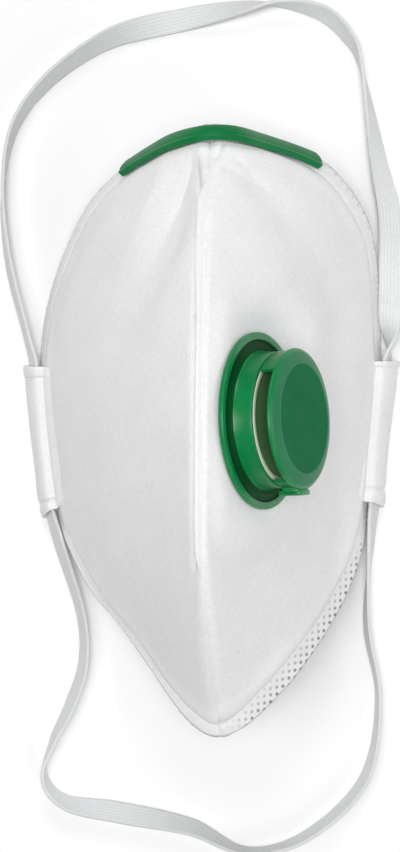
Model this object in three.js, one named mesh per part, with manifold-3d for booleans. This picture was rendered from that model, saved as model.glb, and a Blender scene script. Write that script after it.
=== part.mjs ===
// Valved dust mask: two cloth panels joined on a centre seam, a nose clip, an exhalation valve,
// two strap sleeves and one elastic head strap. Millimetres, +X wearer's left panel to right panel,
// +Y toward the nose, +Z up from the surface the mask rests on.
import * as THREE from "three";
import Module from "manifold-3d";

const wasm = await Module();
wasm.setup();

// ---------- sizes ----------
const GAP = 0.3; // clearance left between neighbouring pieces
const BORDER_WIDTH = 6; // welded edge all round each panel
const BORDER_STEP = 1.6; // width of the step from the welded edge to the padded wall
const BORDER_OUT = 0.45; // wall outside its middle surface, in the welded edge
const BORDER_IN = 0.45;
const WALL_OUT = 0.9; // wall outside its middle surface, in the padded part
const WALL_IN = 1.1;
const SEAM_HALF = 0.4; // half the thickness of the centre seam's weld
const SEAM_ROUND = [0.7, 2.6]; // half width of the ridge, along the fin and at its narrow ends
const SEAM_SOFT = 6; // distance from the seam over which the wall grows to its full thickness

const VALVE_CENTER = [13.7, 3.3, 70.0];
const VALVE_AXIS = [0.8888, 0.0450, 0.4561];
const VALVE_HOLE_RADIUS = 17.2;
const VALVE_FLAT_RADIUS = 25; // the panel is flat under the flange out to here
const VALVE_BLEND_RADIUS = 35; // and back on its own surface from here

const STRAP_WIDTH = 7;
const STRAP_THICK = 1.2;
const STRAP_LOWEST = 0.05; // the strap's lower edge is never nearer the surface than this

// Stations along the seam from nose to chin. Each row holds the seam point, the matching points on
// the left and right rims, and how far the wall bows out between them.
const STATION_COLUMNS = ["seam", "left", "right", "bow"];
const STATIONS = [
  [[0.9, 82.5, 57.0], [0.9, 82.5, 57.0], [0.9, 82.5, 57.0], 0.0],
  [[1.0, 79.2, 59.3], [-4.6, 81.6, 53.8], [6.2, 81.9, 54.2], 1.3],
  [[1.0, 73.5, 63.0], [-11.0, 80.0, 45.5], [13.0, 81.2, 46.5], 2.8],
  [[0.9, 64.5, 68.2], [-18.6, 77.6, 35.5], [22.5, 79.9, 37.0], 3.1],
  [[0.6, 53.5, 74.2], [-27.0, 73.6, 26.5], [32.4, 77.2, 28.0], 2.8],
  [[0.4, 42.5, 79.8], [-35.3, 66.2, 19.0], [40.5, 70.5, 20.2], 2.6],
  [[0.2, 31.5, 84.6], [-42.3, 55.2, 10.8], [46.8, 61.5, 11.0], 2.3],
  [[0.0, 20.5, 88.2], [-47.6, 42.5, 5.4], [49.6, 49.5, 5.6], 2.1],
  [[-0.1, 10.0, 90.6], [-50.6, 30.5, 2.3], [50.7, 35.0, 2.3], 2.0],
  [[-0.2, 0.0, 91.9], [-51.6, 19.0, 0.9], [51.2, 20.5, 0.9], 2.0],
  [[-0.2, -10.5, 92.2], [-50.6, 4.5, 0.7], [49.9, 6.5, 0.7], 2.0],
  [[-0.3, -21.0, 91.0], [-49.0, -9.5, 0.7], [48.5, -7.5, 0.7], 2.0],
  [[-0.1, -32.0, 87.8], [-47.1, -22.0, 0.9], [47.4, -21.5, 0.9], 2.0],
  [[0.3, -43.0, 82.4], [-42.6, -33.5, 4.5], [45.2, -34.5, 5.5], 2.0],
  [[1.0, -53.5, 75.2], [-35.0, -45.9, 12.0], [40.2, -46.5, 13.5], 1.9],
  [[1.8, -63.0, 67.4], [-25.6, -55.2, 21.5], [33.0, -57.5, 24.0], 1.6],
  [[2.5, -71.0, 60.2], [-16.7, -65.6, 31.7], [23.5, -68.5, 35.5], 1.2],
  [[3.1, -77.5, 54.3], [-8.0, -76.2, 41.5], [13.5, -77.4, 44.5], 0.7],
  [[3.4, -80.6, 51.4], [-1.6, -81.2, 47.6], [7.6, -81.0, 48.4], 0.3],
  [[3.6, -82.3, 50.0], [3.6, -82.3, 50.0], [3.6, -82.3, 50.0], 0.0],
];
const LAST = STATIONS.length - 1;

// Long soft dents in the cloth, seen from above: from one point to another, with a width and a depth.
const DENT_COLUMNS = ["side", "from", "to", "width", "depth"];
const DENTS = [
  ["left", [-4, 70], [-22, 26], 11, 2.2],
  ["left", [-30, 62], [-44, 34], 8, -0.8],
  ["left", [-13, 42], [-14, -22], 18, -1.6],
  ["left", [-19, -16], [-21, -54], 12, 1.6],
  ["right", [14, 66], [34, 44], 10, 1.3],
  ["right", [36, 36], [38, -34], 8, 1.1],
  ["right", [14, -34], [16, -60], 12, 0.8],
];

// One closed loop of strap: where its centre line runs on the surface, how far its lower edge is
// lifted, and how far the band leans over from standing on edge (in degrees, toward the loop's inside).
const STRAP_COLUMNS = ["x", "y", "lift", "lean"];
const STRAP_ROUTE = [
  [-48.35, -23.6, 0.9, 24],
  [-49.65, -17.4, 0.5, 22],
  [-51.9, 1.5, 0.55, 22],
  [-53.1, 19.4, 0.75, 23],
  [-55.3, 29.0, 0.3, 18],
  [-60.8, 50.9, 0.1, 19],
  [-62.7, 72.0, 0.1, 9],
  [-59.6, 91.0, 0.1, -7],
  [-49.7, 105.4, 0.1, -18],
  [-33.3, 117.3, 0.1, -34],
  [-17.0, 122.9, 0.1, -72],
  [9.0, 127.8, 0.1, -138],
  [20.8, 128.8, 0.1, -178],
  [33.4, 125.9, 0.1, -203],
  [41.2, 118.8, 0.1, -198],
  [45.2, 109.6, 0.1, -178],
  [50.2, 82.0, 0.1, -132],
  [53.3, 66.0, 2.2, -106],
  [53.5, 50.0, 6.6, -97],
  [53.4, 37.0, 6.4, -88],
  [53.7, 28.6, 1.8, -25],
  [52.8, 21.0, 0.75, 23],
  [51.85, 9.1, 0.55, 22],
  [50.1, -7.6, 0.55, 22],
  [49.0, -20.8, 0.65, 25],
  [48.2, -30.0, 0.2, 18],
  [46.8, -57.0, 0.1, -8],
  [50.3, -80.0, 0.1, -5],
  [45.9, -104.0, 0.1, -12],
  [29.0, -120.8, 0.1, -8],
  [11.0, -125.7, 0.1, -2],
  [-6.0, -118.6, 0.1, -27],
  [-28.0, -114.4, 0.1, -46],
  [-44.0, -111.2, 0.1, -20],
  [-50.2, -103.4, 0.1, -2],
  [-47.6, -93.2, 0.1, 14],
  [-42.6, -82.8, 0.1, 25],
  [-38.4, -70.0, 0.1, 25],
  [-38.9, -55.0, 0.1, 24],
  [-45.2, -34.5, 0.3, 28],
];

// ---------- small helpers ----------
const vec = (p) => new THREE.Vector3(p[0], p[1], p[2]);

function smoothstep(low, high, x) {
  const t = Math.min(1, Math.max(0, (x - low) / (high - low)));
  return t * t * (3 - 2 * t);
}

// Smooth curve through numbered values; before and after stand in for the neighbours past the ends.
function alongRows(values, before, after, t) {
  const i = Math.min(values.length - 2, Math.max(0, Math.floor(t)));
  const f = t - i;
  const p0 = i > 0 ? values[i - 1] : before;
  const p1 = values[i];
  const p2 = values[i + 1];
  const p3 = i + 2 < values.length ? values[i + 2] : after;
  return p1.map((_, k) => {
    const a = p0[k];
    const b = p1[k];
    const c = p2[k];
    const d = p3[k];
    const linear = (c - a) * f;
    const square = (2 * a - 5 * b + 4 * c - d) * f * f;
    const cube = (3 * b - 3 * c + d - a) * f * f * f;
    return b + 0.5 * (linear + square + cube);
  });
}

const column = (name) => STATIONS.map((row) => row[STATION_COLUMNS.indexOf(name)]);
const SEAM_ROWS = column("seam");
const LEFT_ROWS = column("left");
const RIGHT_ROWS = column("right");
const BOW_ROWS = column("bow").map((bow) => [bow]);

function pastEnd(rows, end, next) {
  return rows[end].map((value, k) => 2 * value - rows[next][k]);
}

function seamPoint(t) {
  const before = pastEnd(SEAM_ROWS, 0, 1);
  const after = pastEnd(SEAM_ROWS, LAST, LAST - 1);
  return vec(alongRows(SEAM_ROWS, before, after, t));
}

function rimPoint(side, t) {
  const rows = side === "left" ? LEFT_ROWS : RIGHT_ROWS;
  const other = side === "left" ? RIGHT_ROWS : LEFT_ROWS;
  return vec(alongRows(rows, other[1], other[LAST - 1], t));
}

const bowAt = (t) => alongRows(BOW_ROWS, [0], [0], t)[0];

// ---------- the middle surface of one panel ----------
function dentDepth(side, x, y) {
  let depth = 0;
  for (const dent of DENTS) {
    const [dentSide, from, to, width, deep] = DENT_COLUMNS.map((_, k) => dent[k]);
    if (dentSide !== side) continue;
    const dx = to[0] - from[0];
    const dy = to[1] - from[1];
    const along = ((x - from[0]) * dx + (y - from[1]) * dy) / (dx * dx + dy * dy);
    const near = Math.min(1, Math.max(0, along));
    const away = Math.hypot(x - from[0] - near * dx, y - from[1] - near * dy);
    depth += deep * Math.exp(-(away * away) / (0.36 * width * width));
  }
  return depth;
}

// Keeps a panel's point on its own side of the seam's weld.
function clearOfSeam(side, t, point) {
  const seam = seamPoint(t);
  const clear = SEAM_HALF + GAP;
  point.x = side === "left" ? Math.min(point.x, seam.x - clear) : Math.max(point.x, seam.x + clear);
  return point;
}

// How far the rounding over the seam lowers a panel at a distance from the seam.
function ridgeDrop(side, t, distance) {
  const seam = seamPoint(t);
  const rim = rimPoint(side, t);
  const ends = 1 - smoothstep(1.6, 3.2, t) + smoothstep(11.5, 14, t);
  const ridge = SEAM_ROUND[0] + (SEAM_ROUND[1] - SEAM_ROUND[0]) * ends;
  const slope = Math.min(2, (seam.z - rim.z) / Math.max(0.5, Math.abs(rim.x - seam.x)));
  return ((slope * ridge) / 2) * Math.max(0, 1 - distance / ridge) ** 2;
}

function ruledPoint(side, t, u) {
  const sign = side === "left" ? -1 : 1;
  const seam = seamPoint(t);
  seam.x += sign * (SEAM_HALF + GAP) * (1 - u);
  const rim = rimPoint(side, t);
  const rib = rim.clone().sub(seam);
  const point = seam.clone().addScaledVector(rib, u);
  const outward = new THREE.Vector3(sign * -rib.z, 0, sign * rib.x);
  if (outward.lengthSq() > 1e-9) {
    outward.normalize();
    point.addScaledVector(outward, bowAt(t) * 4 * u * (1 - u));
  }
  point.z -= ridgeDrop(side, t, Math.abs(point.x - seamPoint(t).x));
  return clearOfSeam(side, t, point);
}

function surfaceNormal(side, t, u, pointAt) {
  const step = 0.01;
  const t0 = Math.max(0.05, t - step);
  const t1 = Math.min(LAST - 0.05, t + step);
  const u0 = Math.max(0, u - step);
  const u1 = Math.min(1, u + step);
  const alongT = pointAt(side, t1, u).sub(pointAt(side, t0, u));
  const alongU = pointAt(side, t, u1).sub(pointAt(side, t, u0));
  const normal = alongT.cross(alongU);
  if (side === "left") normal.negate();
  if (normal.lengthSq() < 1e-16) return new THREE.Vector3(0, 0, 1);
  return normal.normalize();
}

function middlePoint(side, t, u) {
  const point = ruledPoint(side, t, u);
  const ribLength = seamPoint(t).distanceTo(rimPoint(side, t));
  const fromSeam = u * ribLength;
  const fromRim = (1 - u) * ribLength;
  const inside = smoothstep(2, 14, fromSeam) * smoothstep(8, 20, fromRim);
  const normal = surfaceNormal(side, Math.min(LAST - 0.1, Math.max(0.1, t)), u, ruledPoint);
  point.addScaledVector(normal, -dentDepth(side, point.x, point.y) * inside);
  if (side === "right") {
    const axis = vec(VALVE_AXIS).normalize();
    const offset = point.clone().sub(vec(VALVE_CENTER));
    const height = offset.dot(axis);
    const radius = offset.clone().addScaledVector(axis, -height).length();
    const flat = 1 - smoothstep(VALVE_FLAT_RADIUS, VALVE_BLEND_RADIUS, radius);
    const free = smoothstep(0, 7, fromSeam);
    point.addScaledVector(axis, -(height + WALL_OUT) * flat * free);
  }
  return point;
}

// ---------- closed solids from rings and grids ----------
function solidFromLists(positions, faces) {
  const geometry = new THREE.BufferGeometry();
  geometry.setAttribute("position", new THREE.Float32BufferAttribute(positions, 3));
  geometry.setIndex(faces);
  geometry.computeVertexNormals();
  return geometry;
}

function solidVolume(positions, faces) {
  let volume = 0;
  for (let i = 0; i < faces.length; i += 3) {
    const [a, b, c] = [0, 1, 2].map((k) => {
      const at = faces[i + k] * 3;
      return new THREE.Vector3(positions[at], positions[at + 1], positions[at + 2]);
    });
    volume += a.dot(b.cross(c)) / 6;
  }
  return volume;
}

function facingOut(positions, faces) {
  if (solidVolume(positions, faces) >= 0) return solidFromLists(positions, faces);
  const turned = [];
  for (let i = 0; i < faces.length; i += 3) turned.push(faces[i], faces[i + 2], faces[i + 1]);
  return solidFromLists(positions, turned);
}

// Rings of equal count joined one after another; open ends are closed with a fan, or the last ring
// joins the first.
function solidFromRings(rings, joined) {
  const count = rings[0].length;
  const positions = rings.flatMap((ring) => ring.flatMap((p) => [p.x, p.y, p.z]));
  const faces = [];
  const last = joined ? rings.length : rings.length - 1;
  for (let i = 0; i < last; i++) {
    const here = i * count;
    const next = ((i + 1) % rings.length) * count;
    for (let k = 0; k < count; k++) {
      const k1 = (k + 1) % count;
      faces.push(here + k, next + k, next + k1);
      faces.push(here + k, next + k1, here + k1);
    }
  }
  if (!joined) {
    const end = (rings.length - 1) * count;
    for (let k = 1; k < count - 1; k++) {
      faces.push(0, k, k + 1);
      faces.push(end, end + k + 1, end + k);
    }
  }
  return facingOut(positions, faces);
}

function toManifold(geometry) {
  const flat = geometry.clone();
  flat.deleteAttribute("normal");
  flat.deleteAttribute("uv");
  const position = flat.getAttribute("position");
  const seen = new Map();
  const vertProperties = [];
  const remap = [];
  for (let i = 0; i < position.count; i++) {
    const p = [position.getX(i), position.getY(i), position.getZ(i)];
    const key = p.map((value) => Math.round(value * 1e4)).join(",");
    if (!seen.has(key)) {
      seen.set(key, vertProperties.length / 3);
      vertProperties.push(...p);
    }
    remap.push(seen.get(key));
  }
  const index = flat.index ? Array.from(flat.index.array) : remap.map((_, i) => i);
  const triVerts = [];
  for (let i = 0; i < index.length; i += 3) {
    const tri = [remap[index[i]], remap[index[i + 1]], remap[index[i + 2]]];
    if (tri[0] !== tri[1] && tri[1] !== tri[2] && tri[2] !== tri[0]) triVerts.push(...tri);
  }
  return new wasm.Manifold(
    new wasm.Mesh({
      numProp: 3,
      vertProperties: new Float32Array(vertProperties),
      triVerts: new Uint32Array(triVerts),
    }),
  );
}

function fromManifold(solid) {
  const mesh = solid.getMesh();
  const positions = [];
  for (let i = 0; i < mesh.numVert; i++) {
    const at = i * mesh.numProp;
    positions.push(...mesh.vertProperties.slice(at, at + 3));
  }
  return solidFromLists(positions, Array.from(mesh.triVerts));
}

// ---------- panels ----------
const PANEL_ROWS = 38;
const PANEL_MIDDLE_COLUMNS = 14;

// Where the grid lines of one rib fall, from seam to rim, and how much of the padded wall each has.
function ribLines(side, t) {
  const seam = seamPoint(t);
  const rim = rimPoint(side, t);
  const length = Math.max(0.001, seam.distanceTo(rim));
  const step = 0.02;
  const before = rimPoint(side, Math.max(0, t - step));
  const after = rimPoint(side, Math.min(LAST, t + step));
  const edge = after.sub(before).normalize();
  const rib = rim.clone().sub(seam).normalize();
  const slant = Math.max(0.45, rib.clone().cross(edge).length());
  const scale = Math.min(1, length / 30);
  const rimBand = (BORDER_WIDTH * scale) / slant / length;
  const rimStep = ((BORDER_WIDTH + BORDER_STEP) * scale) / slant / length;
  const seamBand = (3 * scale) / length;
  const seamSoft = (SEAM_SOFT * scale) / length;
  const lines = [
    { u: 0, padded: 0 },
    { u: seamBand, padded: 0.4 },
    { u: seamSoft, padded: 1 },
  ];
  for (let k = 1; k < PANEL_MIDDLE_COLUMNS; k++) {
    const u = seamSoft + ((1 - rimStep - seamSoft) * k) / PANEL_MIDDLE_COLUMNS;
    lines.push({ u, padded: 1 });
  }
  lines.push({ u: 1 - rimStep, padded: 1 });
  lines.push({ u: 1 - rimBand, padded: 0 });
  lines.push({ u: 1, padded: 0 });
  const thick = smoothstep(6, 26, length);
  return lines.map((line) => ({ u: line.u, padded: line.padded * thick }));
}

const mix = (a, b, f) => a + (b - a) * f;

function panelSurfacePoint(side, t, line, outer) {
  const near = Math.min(LAST - 0.12, Math.max(0.12, t));
  const point = middlePoint(side, t, line.u);
  const normal = surfaceNormal(side, near, line.u, middlePoint);
  if (line.u === 0) {
    normal.x = 0;
    normal.divideScalar(Math.max(0.25, normal.lengthSq()));
  }
  const out = mix(BORDER_OUT, WALL_OUT, line.padded);
  const inner = mix(BORDER_IN, WALL_IN, line.padded);
  return clearOfSeam(side, t, point.addScaledVector(normal, outer ? out : -inner));
}

function panelGeometry(side) {
  const rings = [];
  const first = 0.16;
  for (let i = 0; i <= PANEL_ROWS; i++) {
    const t = first + ((LAST - 2 * first) * i) / PANEL_ROWS;
    const lines = ribLines(side, t);
    const outer = lines.map((line) => panelSurfacePoint(side, t, line, true));
    const inner = lines.map((line) => panelSurfacePoint(side, t, line, false));
    rings.push([...outer, ...inner.reverse()]);
  }
  const count = rings[0].length;
  const positions = rings.flatMap((ring) => ring.flatMap((p) => [p.x, p.y, p.z]));
  const faces = [];
  for (let i = 0; i < PANEL_ROWS; i++) {
    for (let k = 0; k < count; k++) {
      const k1 = (k + 1) % count;
      const a = i * count + k;
      const b = i * count + k1;
      const c = (i + 1) * count + k1;
      const d = (i + 1) * count + k;
      faces.push(a, d, c, a, c, b);
    }
  }
  const half = count / 2;
  const end = PANEL_ROWS * count;
  for (let k = 0; k < half - 1; k++) {
    const k1 = k + 1;
    const low = count - 1 - k;
    const low1 = low - 1;
    faces.push(k, k1, low1, k, low1, low);
    faces.push(end + k, end + low1, end + k1, end + k, end + low, end + low1);
  }
  return facingOut(positions, faces);
}

// ---------- valve ----------
const valveFrame = (() => {
  const axis = vec(VALVE_AXIS).normalize();
  const noseward = new THREE.Vector3(0, 1, 0).addScaledVector(axis, -axis.y).normalize();
  const rimward = new THREE.Vector3().crossVectors(noseward, axis);
  return new THREE.Matrix4().makeBasis(rimward, noseward, axis).setPosition(vec(VALVE_CENTER));
})();

const VALVE_SEGMENTS = 40;

// A ring or disc turned about the valve's axis from [radius, height] pairs round its section.
function turned(section) {
  const points = [...section, section[0]].map(([r, h]) => new THREE.Vector2(r, h));
  return new THREE.LatheGeometry(points, VALVE_SEGMENTS).rotateX(Math.PI / 2);
}

function turnedSolid(section) {
  const geometry = turned(section);
  const solid = toManifold(geometry);
  if (solid.volume() > 0) return solid;
  const index = Array.from(geometry.index.array);
  for (let i = 0; i < index.length; i += 3) [index[i + 1], index[i + 2]] = [index[i + 2], index[i + 1]];
  geometry.setIndex(index);
  return toManifold(geometry);
}

function boxSolid(size, center) {
  const box = new THREE.BoxGeometry(...size);
  return toManifold(box.translate(...center));
}

const NECK_RADIUS = 16.9;
const BORE_RADIUS = 13.6;
const FLANGE_RADIUS = 22.9;
const BARREL_RADIUS = 17.5;
const BARREL_TOP = 6.8;
const SEAT = 5.6; // height of the seat that the membrane lies over
const RETAINER_RADIUS = 20.2;
const CAP_RADIUS = 18.1;
const CAP_TOP = 13.1;
const CAP_PLATE = 1.3; // thickness of the cap's round plate at its edge

function valveBase() {
  const body = turnedSolid([
    [BORE_RADIUS, -4.0],
    [NECK_RADIUS, -4.0],
    [NECK_RADIUS, GAP],
    [FLANGE_RADIUS, GAP],
    [FLANGE_RADIUS, 1.1],
    [FLANGE_RADIUS - 0.3, 1.4],
    [20.9, 1.4],
    [20.6, 1.1],
    [19.6, 1.15],
    [18.7, 1.9],
    [18.0, 3.2],
    [BARREL_RADIUS + 0.1, 5.2],
    [BARREL_RADIUS, BARREL_TOP],
    [BARREL_RADIUS - 0.7, BARREL_TOP],
    [BARREL_RADIUS - 0.7, SEAT],
    [BORE_RADIUS, SEAT],
  ]);
  const spoke = [2 * BORE_RADIUS + 1.5, 1.6, 2.0];
  const across = boxSolid(spoke, [0, 0, SEAT - 1.2]);
  const upright = boxSolid([spoke[1], spoke[0], spoke[2]], [0, 0, SEAT - 1.2]);
  const boss = turnedSolid([[0, 2.8], [2.4, 2.8], [2.4, SEAT], [0, SEAT]]);
  return fromManifold(body.add(across).add(upright).add(boss));
}

const valveMembrane = () =>
  fromManifold(
    turnedSolid([
      [0, SEAT + GAP],
      [16.4, SEAT + GAP],
      [16.4, SEAT + GAP + 0.5],
      [0, SEAT + GAP + 0.5],
    ]),
  );

// The cap: a cup with two side windows, and a latch tongue on its chin side.
function valveCap() {
  const skirtInner = CAP_RADIUS - 1.7;
  const cup = turnedSolid([
    [0, CAP_TOP - CAP_PLATE],
    [skirtInner, CAP_TOP - CAP_PLATE],
    [skirtInner, BARREL_TOP + GAP],
    [CAP_RADIUS - 0.5, BARREL_TOP + GAP],
    [CAP_RADIUS, CAP_TOP - 1.0],
    [CAP_RADIUS - 0.2, CAP_TOP - 0.5],
    [CAP_RADIUS - 0.8, CAP_TOP - 0.1],
    [14.3, CAP_TOP + 0.05],
    [13.9, CAP_TOP - 0.2],
    [0, CAP_TOP - 0.2],
  ]);
  const windowTop = CAP_TOP - CAP_PLATE;
  const windowBottom = BARREL_TOP - 1;
  const height = windowTop - windowBottom;
  const middle = (windowTop + windowBottom) / 2;
  const chinward = -16.4;
  const noseward = 12.9;
  const span = noseward - chinward;
  const window = boxSolid([2 * CAP_RADIUS + 6, span, height], [0, (noseward + chinward) / 2, middle]);
  const tongue = boxSolid([6.4, 1.3, 6.0], [0, -(CAP_RADIUS + 0.7), 9.3]);
  const bridge = boxSolid([6.4, 2.6, 1.7], [0, -(CAP_RADIUS - 0.2), 11.4]);
  return fromManifold(cup.subtract(window).add(tongue).add(bridge));
}

const valveRetainer = () =>
  fromManifold(
    turnedSolid([
      [NECK_RADIUS + GAP, -2.3],
      [RETAINER_RADIUS, -2.3],
      [RETAINER_RADIUS, -3.2],
      [RETAINER_RADIUS - 0.6, -3.7],
      [NECK_RADIUS + GAP, -3.7],
    ]),
  );

function rightPanelWithHole() {
  const drill = turnedSolid([[0, -9], [VALVE_HOLE_RADIUS, -9], [VALVE_HOLE_RADIUS, 9], [0, 9]]);
  const placed = toManifold(fromManifold(drill).applyMatrix4(valveFrame));
  return fromManifold(toManifold(panelGeometry("right")).subtract(placed));
}

// ---------- centre seam ----------
const FIN_LEAN = 1.5; // how far the fin's edge leans over the left panel

function centerSeam() {
  const rings = [];
  const rows = 46;
  for (let i = 0; i <= rows; i++) {
    const t = 0.3 + ((LAST - 0.6) * i) / rows;
    const middle = seamPoint(t);
    const ahead = seamPoint(t + 0.05).sub(seamPoint(t - 0.05));
    const up = new THREE.Vector3(0, ahead.z, -ahead.y).normalize();
    const tall = smoothstep(2.7, 3.6, t) * (1 - smoothstep(10.9, 12.2, t));
    const top = 0.2 + 2.0 * tall;
    const low = -1.6;
    middle.z -= Math.min(ridgeDrop("left", t, SEAM_HALF), ridgeDrop("right", t, SEAM_HALF));
    const side = new THREE.Vector3(1, 0, 0);
    const lean = side.clone().multiplyScalar(-FIN_LEAN * smoothstep(0.7, 1, tall));
    rings.push([
      middle.clone().addScaledVector(side, -SEAM_HALF).addScaledVector(up, low),
      middle.clone().addScaledVector(side, SEAM_HALF).addScaledVector(up, low),
      middle.clone().addScaledVector(side, SEAM_HALF).addScaledVector(up, top - 1.0 * tall),
      middle.clone().add(lean).addScaledVector(side, SEAM_HALF).addScaledVector(up, top),
      middle.clone().add(lean).addScaledVector(side, -SEAM_HALF).addScaledVector(up, top - 0.25 * tall),
      middle.clone().addScaledVector(side, -SEAM_HALF).addScaledVector(up, top - 0.85 * tall),
    ]);
  }
  return solidFromRings(rings, false);
}

// ---------- nose clip ----------
const CLIP_WIDTH = 5.8;
const CLIP_THICK = 1.1;
const CLIP_RIDGE = 0.5;
const CLIP_FROM_RIM = 3.4;
const CLIP_LEFT = [3.72, 3.4, 3.0, 2.5, 2.1];
const CLIP_RIGHT = [3.95, 3.6, 3.1, 2.6, 2.1];
// The bend over the nose: points of the clip's underside and the way out from each.
const CROWN_COLUMNS = ["point", "out"];
const CLIP_CROWN = [
  [[-4.2, 78.8, 59.9], [-0.45, 0.5, 0.74]],
  [[2.2, 79.4, 62.0], [0.02, 0.55, 0.83]],
  [[8.6, 79.2, 59.6], [0.45, 0.5, 0.74]],
];

function clipPlace(side, t) {
  const seam = seamPoint(t);
  const rim = rimPoint(side, t);
  const rib = rim.clone().sub(seam);
  const edge = rimPoint(side, t + 0.05).sub(rimPoint(side, t - 0.05)).normalize();
  const slant = rib.clone().normalize().cross(edge).length();
  const u = 1 - CLIP_FROM_RIM / slant / rib.length();
  const normal = surfaceNormal(side, t, u, middlePoint);
  const point = middlePoint(side, t, u).addScaledVector(normal, WALL_OUT + GAP);
  return { point, normal };
}

function noseClip() {
  const left = CLIP_LEFT.map((t) => clipPlace("left", t));
  const right = CLIP_RIGHT.map((t) => clipPlace("right", t)).reverse();
  const crown = CLIP_CROWN.map((row) => ({
    point: vec(row[CROWN_COLUMNS.indexOf("point")]),
    normal: vec(row[CROWN_COLUMNS.indexOf("out")]),
  }));
  const places = [...left, ...crown, ...right];
  const line = new THREE.CatmullRomCurve3(places.map((place) => place.point));
  const normals = new THREE.CatmullRomCurve3(places.map((place) => place.normal));
  const rings = [];
  const steps = 44;
  for (let i = 0; i <= steps; i++) {
    const f = i / steps;
    const point = line.getPoint(f);
    const ahead = line.getTangent(f);
    const normal = normals.getPoint(f);
    normal.addScaledVector(ahead, -normal.dot(ahead)).normalize();
    const across = new THREE.Vector3().crossVectors(normal, ahead).normalize();
    const end = Math.min(1, Math.min(i, steps - i) / 2);
    const half = (CLIP_WIDTH / 2) * (0.55 + 0.45 * end);
    const at = (a, h) => point.clone().addScaledVector(across, a).addScaledVector(normal, h);
    rings.push([
      at(-half, 0),
      at(half, 0),
      at(half, CLIP_THICK * 0.7),
      at(half * 0.8, CLIP_THICK),
      at(half * 0.3, CLIP_THICK + CLIP_RIDGE),
      at(-half * 0.3, CLIP_THICK + CLIP_RIDGE),
      at(-half * 0.8, CLIP_THICK),
      at(-half, CLIP_THICK * 0.7),
    ]);
  }
  return solidFromRings(rings, false);
}

// ---------- strap sleeves ----------
const SLEEVE_CLEAR = 13; // length of panel edge, down its slope, that the sleeve's frame is taken from
const SLEEVE_DROP = 2.6;
const SLEEVE_GAP = 0.6; // from the panel's face to the flat underside of the sleeve
const SLEEVE_HALF_THICK = 1.7;

// Stations along a sleeve from the nose end to the chin end: place on the rim, and how far the
// section swells against the tube's own.
const SLEEVE_COLUMNS = ["t", "swell", "mouth"];
const LEFT_SLEEVE = [
  [8.9, 1.12, 1.25],
  [9.06, 1.08, 1.1],
  [9.2, 0.96, 1.0],
  [9.34, 1.02, 1.0],
  [10.2, 1.0, 1.0],
  [11.2, 1.0, 1.0],
  [11.78, 1.02, 1.0],
  [11.92, 0.96, 1.0],
  [12.04, 1.1, 1.12],
  [12.2, 1.12, 1.25],
];
const RIGHT_SLEEVE = [
  [8.92, 1.12, 1.25],
  [9.0, 1.1, 1.15],
  [9.07, 0.96, 1.0],
  [9.2, 1.02, 1.0],
  [10.2, 1.0, 1.0],
  [11.2, 1.0, 1.0],
  [11.5, 1.02, 1.0],
  [11.62, 0.96, 1.0],
  [11.74, 1.1, 1.08],
  [12.03, 1.12, 1.25],
];
// Section across a sleeve: [down the slope, outward]. The flap lies on the panel above the tube.
const TUBE_SECTION = [
  [-10.4, -1.7],
  [3.3, -1.7],
  [4.5, -1.2],
  [4.9, 0],
  [4.5, 1.2],
  [3.3, 1.7],
  [-3.3, 1.7],
  [-4.4, 1.2],
  [-4.8, 0.2],
  [-5.2, -0.6],
  [-10.4, -0.8],
];
const CHANNEL_SECTION = [
  [4.15, -0.6],
  [4.15, 0.6],
  [3.8, 1.05],
  [-3.8, 1.05],
  [-4.15, 0.6],
  [-4.15, -0.6],
  [-3.8, -1.05],
  [3.8, -1.05],
];

function sleeveFrame(side, t) {
  const seam = seamPoint(t);
  const rim = rimPoint(side, t);
  const ribLength = seam.distanceTo(rim);
  const edge = panelSurfacePoint(side, t, { u: 1, padded: 0 }, true);
  const above = panelSurfacePoint(side, t, { u: 1 - SLEEVE_CLEAR / ribLength, padded: 1 }, true);
  const ahead = rimPoint(side, t + 0.1).sub(rimPoint(side, t - 0.1)).normalize();
  const down = edge.clone().sub(above);
  down.addScaledVector(ahead, -down.dot(ahead)).normalize();
  const outward = new THREE.Vector3().crossVectors(ahead, down);
  if (outward.z < 0) outward.negate();
  const center = edge.clone().addScaledVector(down, -SLEEVE_DROP);
  center.addScaledVector(outward, SLEEVE_GAP + SLEEVE_HALF_THICK);
  return { center, down, outward };
}

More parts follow.
